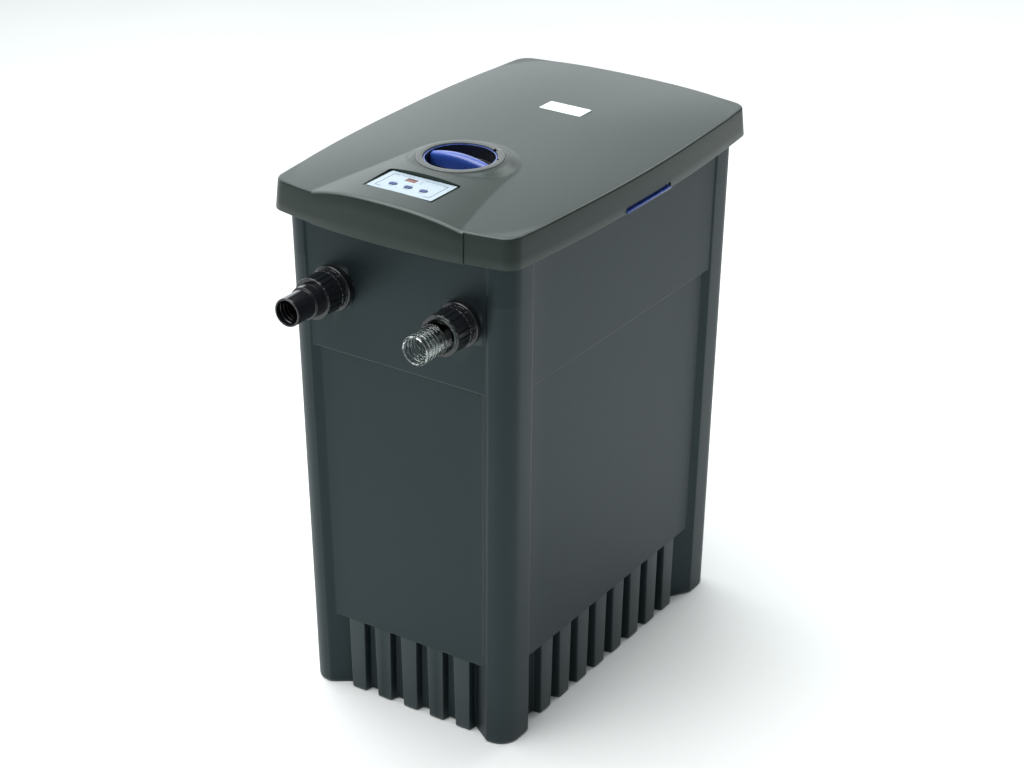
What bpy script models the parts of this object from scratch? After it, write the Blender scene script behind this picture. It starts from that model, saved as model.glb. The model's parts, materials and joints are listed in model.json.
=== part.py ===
"""Box filter for a garden pond: ribbed tub, clip-on lid with control panel, UV clarifier, foams and pump.

Metres, +Z up. The frame's origin is on the ground under the middle of the whole object. -Y is the short face
with the two hose fittings, +Y carries the outlet, and the lid's latches are on the +X and -X sides.
All sizes below are in the tub's own frame, whose origin is under the middle of the tub.
"""

import math

import bmesh
import bpy
from mathutils import Matrix, Vector
from mathutils.geometry import delaunay_2d_cdt

# Tub
BASE_HALF = (0.1584, 0.2619)  # outer half width and half length at the ground
TOP_HALF = (0.1690, 0.2725)  # the same at the lid's lower edge
SKIRT_Z = 0.683  # lower edge of the lid's skirt
WALL = 0.0035
FLOOR_Z = 0.006
COLUMN = (0.0313, 0.0510)  # how far a corner column reaches along the short and the long sides
COLUMN_RADIUS = 0.028
FLANK_SLOPE = 29 / 19  # a column's flank runs this far along the wall for each metre of depth
BAND_DEPTH = 0.002  # how far the upper band lies behind the columns
PANEL_DEPTH = 0.0075
GROOVE_DEPTH = 0.0190
CHAMFER = 0.0035
RIB_TOP_Z = 0.1075
BAND_Z = 0.504
RIM_Z = 0.714
RIM_FLANGE = 0.003
RIM_FLANGE_Z = 0.7085
RIB_DRAFT = 0.0025
SHORT_RIBS = (5, 0.0420, 0.0105, 0.0121)  # number, pitch, and half a rib's width at the ground and at its top
LONG_RIBS = (8, 0.0446, 0.0112, 0.0130)

# Lid
LID_HALF = (0.1953, 0.2997)
LID_BOW = (0.0159, 0.0199)  # how far the long and the short sides bow out between the corners
LID_CORNER = 0.0225
LID_WALL = 0.003
LID_INSET = 0.0028  # the skirt leans in by this much from its lower to its upper edge
EDGE_Z = 0.7225
DOME = 0.0110
LEDGE_Z = 0.7200  # flat underside that the gasket meets

# Control console on the lid
RING_Y = -0.130
RING_RADIUS = 0.0555
WELL_RADIUS = 0.0463
RING_TOP_Z = 0.7420
RING_SEAT_Z = 0.7365
COLLAR_RADIUS = 0.0500
BOSS_REACH = 0.022
CONSOLE_LINE = ((-0.300, 0.7368), (-0.260, 0.7383), (-0.204, 0.7412), (-0.120, 0.7412))  # y, z along x = 0
CONSOLE_EDGE = ((-0.300, 0.113), (-0.200, 0.089), (-0.160, 0.081), (-0.120, 0.074))  # y, half width
RECESS = (0.0530, -0.2625, -0.2030, 0.7350)  # half width, front y, back y, floor z
WINDOW = (0.0460, -0.2560, -0.2070)
LABEL = (0.0480, -0.2595, -0.2045)
LABEL_Z = (0.7353, 0.7365)
BUTTON_PITCH = 0.0225
BUTTON_Y = -0.2395
BUTTON_HALF = (0.0060, 0.0038)
BUTTON_Z = (0.7302, 0.7373)
DISPLAY = (-0.0163, -0.2243, -0.0017, -0.2152)
DISPLAY_Z = (0.7291, 0.7362)
BOARD = (0.0438, -0.2538, -0.2092)
BOARD_Z = (0.7272, 0.7288)
TRAY = (0.0457, -0.2557, -0.2073)
TRAY_Z = (0.7130, 0.7348)
TRAY_WALL = 0.0015
TRAY_LEDGE_Z = 0.7269  # the circuit board rests on this step
PLATE_CENTRE = (0.003, 0.106)
PLATE_HALF = (0.0315, 0.0145)
PLATE_FLOOR_Z = 0.7318
PLATE_THICKNESS = 0.0012

# Latches
PIN_X = 0.1845
PIN_Z = 0.7155
PIN_RADIUS = 0.0015
LATCH_HALF = 0.0430
LIP_HALF = 0.0525
NOTCH_Z = 0.6912
NOTCH_X = (0.1855, 0.2050)
EAR_X = (0.1812, 0.1885)
EAR_Y = (0.0440, 0.0480)
EAR_Z = (0.7115, 0.7213)
PIN_HALF = 0.0485

# Hose fittings on the -Y wall: distances along a fitting are from the outside of the wall
FITTING_Z = 0.5945
INLET_X = -0.0925
SLUDGE_X = 0.0980
FRONT_WALL_Y = -0.2692
HOSE_BORE = 0.0160
THREAD_RADIUS = 0.0245
WALL_HOLE = 0.0250
TAIL_REACH = 0.0960
PIPE_START_Y = -0.2467  # just inside the bulkheads
GLAND_Z = 0.7030
GLAND_HOLE = 0.0083

# Outlet on the +Y wall
OUTLET_Z = 0.565
BACK_WALL_Y = 0.2687
OUTLET_REACH = 0.0605
OUTLET_BORE = 0.0345
OUTLET_RADIUS = 0.0375

# Inside
GAP = 0.0003  # between pieces that touch
GRID_Z = (0.120, 0.1262)
GRID_HALF = 0.145
GRID_Y = (-0.088, 0.232)
PARTITION_Y = (-0.0790, -0.0750)
FOAM_Y = (-0.0725, 0.231)
FOAM_HEIGHT = 0.118
PARTITION_TOP_Z = 0.650
FOAM_HALF = 0.143
FOAM_ROUNDING = 0.004
HOUSING_RADIUS = 0.0455
HOUSING_BORE = 0.0425
HOUSING_Z = (0.300, 0.690)
CLIP_HEIGHT = 0.020
PIPE_RADIUS = 0.0200
PIPE_BORE = 0.0170
HOSE_RADIUS = 0.0185
SLEEVE_RADIUS = 0.0150
SLEEVE_BORE = 0.0135
SLEEVE_Z = (0.3450, 0.7040)
PUMP_X = 0.098
PUMP_Y = -0.191
PUMP_Z = 0.062
MOTOR_RADIUS = 0.0330

WELD = 0.00001  # points this close are one point
FACING_FRONT = (math.radians(90), 0, 0)
FACING_BACK = (math.radians(-90), 0, 0)
FACING_RIGHT = (0, math.radians(90), 0)
FACING_LEFT = (0, math.radians(-90), 0)

MIDDLE_Y = (BACK_WALL_Y + OUTLET_REACH + FRONT_WALL_Y - TAIL_REACH) / 2
PARTS = bpy.data.collections.new("pond_filter")
CUTTERS = bpy.data.collections.new("cutters")


# ---------------------------------------------------------------- helpers


def clear_scene():
    for obj in list(bpy.data.objects):
        bpy.data.objects.remove(obj, do_unlink=True)
    bpy.context.scene.collection.children.link(PARTS)
    bpy.context.scene.collection.children.link(CUTTERS)


def material(name, colour, roughness, metallic=0.0):
    made = bpy.data.materials.new(name)
    made.use_nodes = True
    shader = made.node_tree.nodes["Principled BSDF"]
    shader.inputs["Base Color"].default_value = (*colour, 1.0)
    shader.inputs["Roughness"].default_value = roughness
    shader.inputs["Metallic"].default_value = metallic
    made.diffuse_color = (*colour, 1.0)
    return made


def place(obj, finish, location=(0, 0, 0), rotation=(0, 0, 0)):
    """Puts an object in the tub's frame and gives it its material."""
    PARTS.objects.link(obj)
    obj.parent = ORIGIN
    obj.location = location
    obj.rotation_euler = rotation
    if finish is not None:
        obj.data.materials.append(finish)
    return obj


def as_cutter(obj):
    PARTS.objects.unlink(obj)
    CUTTERS.objects.link(obj)
    obj.hide_render = True
    obj.display_type = "WIRE"
    return obj


def combine(obj, other, operation="DIFFERENCE"):
    """Cuts the other shape out of obj, or joins it on; the other shape becomes a helper."""
    as_cutter(other)
    boolean = obj.modifiers.new(operation.lower(), "BOOLEAN")
    boolean.operation = operation
    boolean.solver = "EXACT"
    boolean.object = other
    return obj


def smooth(obj, angle=35):
    obj.data.shade_smooth()
    obj.data.set_sharp_from_angle(angle=math.radians(angle))


def from_bmesh(name, mesh, finish, location=(0, 0, 0), rotation=(0, 0, 0)):
    bmesh.ops.recalc_face_normals(mesh, faces=mesh.faces)
    data = bpy.data.meshes.new(name)
    mesh.to_mesh(data)
    mesh.free()
    return place(bpy.data.objects.new(name, data), finish, location, rotation)


def box(name, low, high, finish, bevel=0.0):
    """A box from corner to corner, with its origin at its middle."""
    low, high = Vector(low), Vector(high)
    mesh = bmesh.new()
    bmesh.ops.create_cube(mesh, size=1.0)
    bmesh.ops.scale(mesh, vec=high - low, verts=mesh.verts)
    obj = from_bmesh(name, mesh, finish, (low + high) / 2)
    if bevel:
        rounding = obj.modifiers.new("bevel", "BEVEL")
        rounding.width = bevel
        rounding.segments = 2
    return obj


def cylinder(name, radius, low, high, finish, location=(0, 0, 0), rotation=(0, 0, 0), sides=24):
    """A cylinder along its own Z from low to high."""
    mesh = bmesh.new()
    bmesh.ops.create_cone(
        mesh,
        cap_ends=True,
        segments=sides,
        radius1=radius,
        radius2=radius,
        depth=high - low,
        matrix=Matrix.Translation((0, 0, (low + high) / 2)),
    )
    obj = from_bmesh(name, mesh, finish, location, rotation)
    smooth(obj)
    return obj


def turned(name, profile, finish, location=(0, 0, 0), rotation=(0, 0, 0), sides=24):
    """Turns a profile of (radius, z) points about its own Z.

    The profile runs down the outer side. One that starts off the axis is a ring and is closed on itself.
    """
    mesh = bmesh.new()
    points = [mesh.verts.new((radius, 0, z)) for radius, z in profile]
    for first, second in zip(points, points[1:]):
        mesh.edges.new((first, second))
    if profile[0][0] > 0:
        mesh.edges.new((points[-1], points[0]))
    data = bpy.data.meshes.new(name)
    mesh.to_mesh(data)
    mesh.free()
    obj = place(bpy.data.objects.new(name, data), finish, location, rotation)
    screw = obj.modifiers.new("turn", "SCREW")
    screw.axis = "Z"
    screw.steps = sides
    screw.render_steps = sides
    screw.use_merge_vertices = True
    screw.merge_threshold = WELD
    screw.use_smooth_shade = True
    data.shade_smooth()
    return obj


def ring_profile(inner, outer, low, high):
    return [(outer, high), (outer, low), (inner, low), (inner, high)]


def tube(name, route, radius, bore, finish, bends=6):
    """A tube with an open bore along a route whose inner corners are rounded by arcs."""
    points = rounded_route(route, radius * 1.6, bends)
    outer = swept(name, points, radius, finish)
    reach = 0.002
    first = points[0] + (points[0] - points[1]).normalized() * reach
    last = points[-1] + (points[-1] - points[-2]).normalized() * reach
    inner = swept(name + "_bore", [first, *points[1:-1], last], bore, None)
    combine(outer, inner)
    smooth(outer)
    return outer


def rounded_route(route, radius, bends):
    """The route with each inner corner replaced by an arc of this radius."""
    route = [Vector(point) for point in route]
    points = [route[0]]
    for before, corner, after in zip(route, route[1:], route[2:]):
        into = (corner - before).normalized()
        out = (after - corner).normalized()
        turn = into.angle(out)
        length = radius * math.tan(turn / 2)
        start = corner - into * length
        centre = start + (out - into * into.dot(out)).normalized() * radius
        for step in range(bends + 1):
            angle = turn * step / bends
            spoke = (start - centre) * math.cos(angle) + into * radius * math.sin(angle)
            points.append(centre + spoke)
    points.append(route[-1])
    return points


def swept(name, points, radius, finish):
    """A round bar along the points, as a mesh with welded caps."""
    curve = bpy.data.curves.new(name, "CURVE")
    curve.dimensions = "3D"
    curve.bevel_depth = radius
    curve.bevel_resolution = 3
    curve.use_fill_caps = True
    spline = curve.splines.new("POLY")
    spline.points.add(len(points) - 1)
    for target, point in zip(spline.points, points):
        target.co = (*point, 1.0)
    return meshed(name, curve, finish)


def meshed(name, curve, finish, location=(0, 0, 0), rotation=(0, 0, 0)):
    """Turns a curve into a mesh object so that it can take and be a Boolean."""
    guide = bpy.data.objects.new(name + "_guide", curve)
    bpy.context.scene.collection.objects.link(guide)
    bpy.context.view_layer.update()
    graph = bpy.context.evaluated_depsgraph_get()
    data = bpy.data.meshes.new_from_object(guide.evaluated_get(graph))
    data.name = name
    mesh = bmesh.new()
    mesh.from_mesh(data)
    bmesh.ops.remove_doubles(mesh, verts=mesh.verts, dist=WELD)
    bmesh.ops.recalc_face_normals(mesh, faces=mesh.faces)
    mesh.to_mesh(data)
    mesh.free()
    bpy.data.objects.remove(guide, do_unlink=True)
    return place(bpy.data.objects.new(name, data), finish, location, rotation)


def plate(name, outlines, thickness, finish, location=(0, 0, 0), rotation=(0, 0, 0)):
    """A flat piece from 2D outlines; a smaller outline inside the first one is a hole."""
    curve = bpy.data.curves.new(name, "CURVE")
    curve.dimensions = "2D"
    curve.fill_mode = "BOTH"
    curve.extrude = thickness / 2
    for outline in outlines:
        spline = curve.splines.new("POLY")
        spline.points.add(len(outline) - 1)
        for target, (x, y) in zip(spline.points, outline):
            target.co = (x, y, 0, 1)
        spline.use_cyclic_u = True
    return meshed(name, curve, finish, location, rotation)


def arc(centre, radius, start, end, steps):
    """Points on an arc, with angles in degrees."""
    points = []
    for step in range(steps + 1):
        angle = math.radians(start + (end - start) * step / steps)
        points.append((centre[0] + radius * math.cos(angle), centre[1] + radius * math.sin(angle)))
    return points


def rectangle(low_x, low_y, high_x, high_y):
    return [(low_x, low_y), (high_x, low_y), (high_x, high_y), (low_x, high_y)]


def loft(name, rings, finish, closed=False):
    """Skins rings of equal length; a closed loft has no caps because its last ring joins its first."""
    mesh = bmesh.new()
    loops = [[mesh.verts.new(point) for point in ring] for ring in rings]
    pairs = list(zip(loops, loops[1:]))
    if closed:
        pairs.append((loops[-1], loops[0]))
    for lower, upper in pairs:
        for index in range(len(lower)):
            following = (index + 1) % len(lower)
            mesh.faces.new((lower[index], lower[following], upper[following], upper[index]))
    bmesh.ops.triangulate(mesh, faces=mesh.faces)
    if not closed:
        fill(mesh, loops[0])
        fill(mesh, loops[-1])
    obj = from_bmesh(name, mesh, finish)
    smooth(obj)
    return obj


def fill(mesh, loop):
    """Triangles across a nearly flat ring, which may be concave and hold points in a straight line."""
    extents = [max(v.co[axis] for v in loop) - min(v.co[axis] for v in loop) for axis in range(3)]
    across = [axis for axis in range(3) if axis != extents.index(min(extents))]
    flat = [Vector((vertex.co[across[0]], vertex.co[across[1]])) for vertex in loop]
    edges = [(index, (index + 1) % len(loop)) for index in range(len(loop))]
    triangles = delaunay_2d_cdt(flat, edges, [], 1, 1e-7)[2]
    for triangle in triangles:
        mesh.faces.new([loop[index] for index in triangle])


def along(table, value):
    """Linear interpolation in a table of (key, value) pairs, held constant beyond its ends."""
    if value <= table[0][0]:
        return table[0][1]
    for (low, first), (high, second) in zip(table, table[1:]):
        if value <= high:
            return first + (second - first) * (value - low) / (high - low)
    return table[-1][1]


# ---------------------------------------------------------------- tub


def tub_half(z):
    share = z / SKIRT_Z
    return [base + (top - base) * share for base, top in zip(BASE_HALF, TOP_HALF)]


def side_points(half, column, depth, floor, ribs, z):
    """(position along the side, depth) from one column to the next."""
    foot = -half + column + floor * FLANK_SLOPE
    points = [(-half + column, 0.0), (foot, floor)]
    count, pitch, low_face, high_face = ribs
    face = low_face + (high_face - low_face) * min(z / RIB_TOP_Z, 1)
    for index in range(count):
        centre = (index - (count - 1) / 2) * pitch
        points.append((centre - face - RIB_DRAFT, floor))
        points.append((centre - face, depth))
        points.append((centre + face, depth))
        points.append((centre + face + RIB_DRAFT, floor))
    points.append((-foot, floor))
    points.append((half - column, 0.0))
    return points


def tub_ring(z, inset, depth, floor, thickness=0.0):
    """The tub's outline at one height: rounded corner columns with the four recessed sides between them.

    Where depth equals floor, the ribs are level with the side.
    """
    half_x, half_y = (half - inset - thickness for half in tub_half(z))
    radius = COLUMN_RADIUS - inset - thickness
    short_column, long_column = (reach - inset - 1.3 * thickness for reach in COLUMN)
    short = side_points(half_x, short_column, depth, floor, SHORT_RIBS, z)
    long = side_points(half_y, long_column, depth, floor, LONG_RIBS, z)
    corner_x, corner_y = half_x - radius, half_y - radius
    outline = [(u, -half_y + d) for u, d in short]
    outline += arc((corner_x, -corner_y), radius, -90, 0, 5)
    outline += [(half_x - d, u) for u, d in long]
    outline += arc((corner_x, corner_y), radius, 0, 90, 5)
    outline += [(-u, half_y - d) for u, d in short]
    outline += arc((-corner_x, corner_y), radius, 90, 180, 5)
    outline += [(-half_x + d, -u) for u, d in long]
    outline += arc((-corner_x, -corner_y), radius, 180, 270, 5)
    return [(x, y, z) for x, y in outline]


def build_tub(finish):
    """The outside from the ground up to the rim, then the inside down to the floor."""
    outside = [
        tub_ring(0.0, CHAMFER, PANEL_DEPTH, GROOVE_DEPTH),
        tub_ring(CHAMFER, 0.0, PANEL_DEPTH, GROOVE_DEPTH),
        tub_ring(RIB_TOP_Z - 0.001, 0.0, PANEL_DEPTH, GROOVE_DEPTH),
        tub_ring(RIB_TOP_Z + 0.001, 0.0, PANEL_DEPTH, PANEL_DEPTH),
        tub_ring(BAND_Z - 0.001, 0.0, PANEL_DEPTH, PANEL_DEPTH),
        tub_ring(BAND_Z + 0.001, 0.0, BAND_DEPTH, BAND_DEPTH),
        tub_ring(RIM_FLANGE_Z - 0.0005, 0.0, BAND_DEPTH, BAND_DEPTH),
        tub_ring(RIM_FLANGE_Z, -RIM_FLANGE, BAND_DEPTH, BAND_DEPTH),
        tub_ring(RIM_Z, -RIM_FLANGE, BAND_DEPTH, BAND_DEPTH),
    ]
    inside = [
        tub_ring(RIM_Z, 0.0, BAND_DEPTH, BAND_DEPTH, WALL),
        tub_ring(BAND_Z + 0.005, 0.0, BAND_DEPTH, BAND_DEPTH, WALL),
        tub_ring(BAND_Z, 0.0, PANEL_DEPTH, PANEL_DEPTH, WALL),
        tub_ring(RIB_TOP_Z + 0.006, 0.0, PANEL_DEPTH, PANEL_DEPTH, WALL),
        tub_ring(RIB_TOP_Z, 0.0, GROOVE_DEPTH, GROOVE_DEPTH, WALL),
        tub_ring(FLOOR_Z, 0.0, GROOVE_DEPTH, GROOVE_DEPTH, WALL),
    ]
    tub = loft("tub", outside + inside, finish)
    for x in (INLET_X, SLUDGE_X):
        hole = cylinder("tub_hole", WALL_HOLE, -0.03, 0.03, None, (x, FRONT_WALL_Y, FITTING_Z), FACING_FRONT)
        combine(tub, hole)
    outlet_hole = cylinder(
        "tub_hole", OUTLET_RADIUS + 0.0005, -0.03, 0.03, None, (0, BACK_WALL_Y, OUTLET_Z), FACING_BACK
    )
    combine(tub, outlet_hole)
    return tub


def build_rim_gasket(finish):
    low, high = RIM_Z + GAP, LEDGE_Z - GAP
    outer, inner = 0.0005, 0.0032

    def ring(inset, z):
        return [(x, y, z) for x, y, _ in tub_ring(RIM_Z, inset, BAND_DEPTH, BAND_DEPTH)]

    rings = [ring(outer, low), ring(outer, high), ring(inner, high), ring(inner, low)]
    loft("rim_gasket", rings, finish, closed=True)


# ---------------------------------------------------------------- lid


def lid_outline(inset):
    """A rounded rectangle whose sides are shallow arcs, inset from the lid's lower edge."""
    half_x, half_y = (half - inset for half in LID_HALF)
    bow_x, bow_y = LID_BOW
    reach_x, reach_y = half_x - bow_x, half_y - bow_y
    side_x = (reach_y**2 + bow_x**2) / (2 * bow_x)
    side_y = (reach_x**2 + bow_y**2) / (2 * bow_y)
    centre_x = Vector((half_x - side_x, 0))
    centre_y = Vector((0, half_y - side_y))
    corner = circles_meet(centre_x, side_x - LID_CORNER, centre_y, side_y - LID_CORNER)
    turn_x = math.degrees(math.atan2(corner.y - centre_x.y, corner.x - centre_x.x))
    turn_y = math.degrees(math.atan2(corner.y - centre_y.y, corner.x - centre_y.x))
    quarter = arc(centre_x, side_x, 0, turn_x, 4)
    quarter += arc(corner, LID_CORNER, turn_x, turn_y, 4)[1:-1]
    quarter += arc(centre_y, side_y, turn_y, 90, 4)
    left = [(-x, y) for x, y in reversed(quarter[:-1])]
    half = quarter + left
    return half + [(x, -y) for x, y in reversed(half[1:-1])]


def circles_meet(first, first_radius, second, second_radius):
    """The crossing of two circles that lies further along +X and +Y."""
    apart = second - first
    distance = apart.length
    along_line = (first_radius**2 - second_radius**2 + distance**2) / (2 * distance)
    across = math.sqrt(first_radius**2 - along_line**2)
    base = first + apart * along_line / distance
    normal = Vector((-apart.y, apart.x)) / distance
    return max((base + normal * across, base - normal * across), key=lambda point: point.x + point.y)


def dome_z(x, y):
    share = ((abs(x) / LID_HALF[0]) ** 4 + (abs(y) / LID_HALF[1]) ** 4) ** 0.25
    return EDGE_Z + DOME * (1 - min(share, 1.0) ** 2.5)


def lid_z(x, y):
    """Height of the lid's top: a shallow dome, the console that widens to the front, and the ring's boss."""
    base = dome_z(x, y)
    height = base
    edge = along(CONSOLE_EDGE, y)
    if y < RING_Y and abs(x) < edge:
        foot = dome_z(edge, y)
        height = foot + (along(CONSOLE_LINE, y) - foot) * (1 - (abs(x) / edge) ** 2.3)
    away = math.hypot(x, y - RING_Y) - RING_RADIUS
    if away < BOSS_REACH:
        rise = 1 - max(away, 0) / BOSS_REACH
        crest = CONSOLE_LINE[-1][1]
        height = max(height, base + (crest - base) * rise * rise * (3 - 2 * rise))
    return max(height, base)


def build_lid(finish):
    skirt_edge = lid_outline(0.0)
    skirt_top = lid_outline(LID_INSET)
    shoulder = lid_outline(LID_INSET + 0.003)
    rings = [
        [(x, y, SKIRT_Z) for x, y in skirt_edge],
        [(x, y, lid_z(x, y) - 0.003) for x, y in skirt_top],
        [(x, y, lid_z(x, y)) for x, y in shoulder],
    ]
    for share in (0.94, 0.87, 0.79, 0.70, 0.60, 0.48, 0.34, 0.18, 0.05):
        points = [(x * share, y * share) for x, y in shoulder]
        rings.append([(x, y, lid_z(x, y)) for x, y in points])
    lid = loft("lid", rings, finish)
    combine(lid, lid_hollow())
    combine(lid, cylinder("lid_bore", COLLAR_RADIUS + GAP, 0.70, 0.76, None, (0, RING_Y, 0), sides=36))
    combine(lid, cylinder("ring_seat", RING_RADIUS + GAP, RING_SEAT_Z, 0.76, None, (0, RING_Y, 0), sides=36))
    half, front, back, floor = RECESS
    combine(lid, box("recess", (-half, front, floor), (half, back, 0.76), None))
    half, front, back = WINDOW
    combine(lid, box("window", (-half, front, 0.70), (half, back, 0.745), None))
    x, y = PLATE_CENTRE
    width, depth = (reach + 0.0005 for reach in PLATE_HALF)
    pocket = box("plate_pocket", (x - width, y - depth, PLATE_FLOOR_Z), (x + width, y + depth, 0.75), None)
    combine(lid, pocket)
    for side in (-1, 1):
        add_latch_mounting(lid, side)
    off_the_seam = (FACING_BACK[0], math.radians(7.5), 0)  # the outline has a vertex right at x = 0
    combine(lid, cylinder("gland_hole", GLAND_HOLE, 0.27, 0.31, None, (0, 0, GLAND_Z), off_the_seam))
    return lid


def lid_hollow():
    inner_edge = lid_outline(LID_WALL)
    inner_top = lid_outline(LID_INSET + LID_WALL)
    rings = [
        [(x, y, SKIRT_Z - 0.01) for x, y in inner_edge],
        [(x, y, LEDGE_Z) for x, y in inner_top],
    ]
    for share in (0.80, 0.72, 0.45, 0.15):
        points = [(x * share, y * share) for x, y in inner_top]
        lift = 0.0 if share == 0.80 else 1.0
        rings.append([(x, y, LEDGE_Z + lift * (dome_z(x, y) - LID_WALL - LEDGE_Z)) for x, y in points])
    return loft("lid_hollow", rings, None)


def add_latch_mounting(lid, side):
    """The notch in the skirt that the latch's lip fills, and two ears with bores for its pin."""
    low_x, high_x = sorted(x * side for x in NOTCH_X)
    notch = box("notch", (low_x, -LIP_HALF - 0.001, 0.67), (high_x, LIP_HALF + 0.001, NOTCH_Z), None)
    combine(lid, notch)
    low_x, high_x = sorted(x * side for x in EAR_X)
    for end in (-1, 1):
        low_y, high_y = sorted(y * end for y in EAR_Y)
        ear = box("ear", (low_x, low_y, EAR_Z[0]), (high_x, high_y, EAR_Z[1]), None)
        combine(lid, ear, "UNION")
    where = (PIN_X * side, 0, PIN_Z)
    combine(lid, cylinder("pin_bore", PIN_RADIUS + GAP, -0.055, 0.055, None, where, FACING_BACK, 16))


def latch_outlines():
    """The lever's and the lip's outlines in (x, z), measured from the pin."""
    knuckle = arc((0, 0), 0.0032, -60, 240, 12)
    lever = knuckle + [
        (-0.0050, -0.0050),
        (-0.0128, -0.0075),
        (-0.0128, -0.0105),
        (-0.0050, -0.0105),
        (-0.0050, -0.0310),
        (-0.0020, -0.0310),
        (-0.0020, -0.0050),
    ]
    lip = [
        (-0.0050, -0.0245),
        (-0.0050, -0.0323),
        (0.0118, -0.0323),
        (0.0118, -0.0300),
        (0.0062, -0.0292),
        (0.0058, -0.0268),
    ]
    return lever, lip


def build_latches(finish, steel):
    lever_outline, lip_outline = latch_outlines()
    bore = arc((0, 0), PIN_RADIUS + GAP, 0, 337.5, 15)
    for name, side in (("left", -1), ("right", 1)):
        turn = (math.radians(90), 0, 0 if side > 0 else math.radians(180))
        where = (PIN_X * side, 0, PIN_Z)
        lever = plate(name + "_latch", [lever_outline, bore], 2 * LATCH_HALF, finish, where, turn)
        lip = plate(name + "_latch_lip", [lip_outline], 2 * LIP_HALF, None, where, turn)
        combine(lever, lip, "UNION")
        cylinder(name + "_latch_pin", PIN_RADIUS, -PIN_HALF, PIN_HALF, steel, where, FACING_BACK, 12)


# ---------------------------------------------------------------- console


def button_outline(grow=0.0):
    half_x, half_y = (half + grow for half in BUTTON_HALF)
    flat = half_x - 0.6 * half_y
    return [(-half_x, 0), (-flat, -half_y), (flat, -half_y), (half_x, 0), (flat, half_y), (-flat, half_y)]


def build_console(finishes):
    half, front, back = LABEL
    outlines = [rectangle(-half, front, half, back)]
    low_x, low_y, high_x, high_y = DISPLAY
    outlines.append(rectangle(low_x - GAP, low_y - GAP, high_x + GAP, high_y + GAP))
    for index in (-1, 0, 1):
        hole = [(x + index * BUTTON_PITCH, y + BUTTON_Y) for x, y in button_outline(GAP)]
        outlines.append(hole)
        button = plate(
            "button_%d" % (index + 2),
            [button_outline()],
            BUTTON_Z[1] - BUTTON_Z[0],
            finishes["blue"],
            (index * BUTTON_PITCH, BUTTON_Y, sum(BUTTON_Z) / 2),
        )
        button.data.shade_flat()
    plate("control_label", outlines, LABEL_Z[1] - LABEL_Z[0], finishes["white"], (0, 0, sum(LABEL_Z) / 2))
    box("led_display", (low_x, low_y, DISPLAY_Z[0]), (high_x, high_y, DISPLAY_Z[1]), finishes["red"])
    half, front, back = BOARD
    box("circuit_board", (-half, front, BOARD_Z[0]), (half, back, BOARD_Z[1]), finishes["green"])
    build_tray(finishes["plastic"])
    x, y = PLATE_CENTRE
    base = PLATE_FLOOR_Z + GAP
    low = (x - PLATE_HALF[0], y - PLATE_HALF[1], base)
    high = (x + PLATE_HALF[0], y + PLATE_HALF[1], base + PLATE_THICKNESS)
    box("name_plate", low, high, finishes["white"])


def build_tray(finish):
    """An open box under the label, with a step inside that carries the circuit board."""
    half, front, back = TRAY
    low, high = TRAY_Z
    tray = box("control_box", (-half, front, low), (half, back, high), finish)
    for name, wall, floor in (("tray_low", 0.0032, low + TRAY_WALL), ("tray_high", TRAY_WALL, TRAY_LEDGE_Z)):
        hollow = box(name, (wall - half, front + wall, floor), (half - wall, back - wall, high + 0.005), None)
        combine(tray, hollow)


def build_cable_gland(finish):
    profile = [
        (0.0100, 0.3030),
        (0.0100, 0.2993),
        (0.0080, 0.2993),
        (0.0080, 0.2820),
        (0.0040, 0.2820),
        (0.0040, 0.3160),
        (0.0070, 0.3160),
        (0.0085, 0.3030),
    ]
    turned("cable_gland", profile, finish, (0, 0, GLAND_Z), FACING_BACK)


# ---------------------------------------------------------------- UV clarifier


def build_uvc(finishes):
    centre = (0, RING_Y, 0)
    collar = [
        (RING_RADIUS - 0.001, RING_TOP_Z),
        (RING_RADIUS, RING_TOP_Z - 0.0015),
        (RING_RADIUS, RING_SEAT_Z + GAP),
        (COLLAR_RADIUS, RING_SEAT_Z + GAP),
        (COLLAR_RADIUS, 0.7050),
        (WELL_RADIUS, 0.7050),
        (WELL_RADIUS, RING_TOP_Z - 0.001),
        (WELL_RADIUS + 0.001, RING_TOP_Z),
    ]
    turned("uvc_collar", collar, finishes["plastic"], centre, sides=36)
    knob = [
        (0.0458, 0.7395),
        (0.0458, 0.7185),
        (0.0065, 0.7185),
        (0.0065, 0.7215),
        (0.0, 0.7215),
    ]
    inside = [(0.0, 0.7235), (0.0440, 0.7235), (0.0440, 0.7395)]
    turned("uvc_knob", inside + knob, finishes["gloss"], centre, sides=36)
    build_grip(finishes["blue"])
    plug = [
        (0.0, 0.7208),
        (0.0060, 0.7208),
        (0.0060, 0.7180),
        (0.0455, 0.7180),
        (0.0455, 0.7060),
        (0.0400, 0.7000),
        (0.0400, 0.6860),
        (0.0385, 0.6860),
        (0.0385, 0.6820),
        (0.0400, 0.6820),
        (0.0400, 0.6760),
        (0.0156, 0.6760),
        (0.0156, 0.7060),
        (0.0, 0.7060),
    ]
    turned("uvc_plug", plug, finishes["gloss"], centre)
    turned("uvc_seal", o_ring(0.0404, 0.6840, 0.0016), finishes["rubber"], centre)
    low, high = SLEEVE_Z
    inside = [(SLEEVE_BORE, high), *round_end(SLEEVE_BORE, low)]
    outside = [(SLEEVE_RADIUS, high), *round_end(SLEEVE_RADIUS, low)]
    turned("quartz_sleeve", list(reversed(inside)) + outside, finishes["glass"], centre)
    cylinder("lamp_socket", 0.0130, 0.6890, 0.7050, finishes["white"], centre)
    build_lamp(finishes["lamp"], centre)


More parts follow.
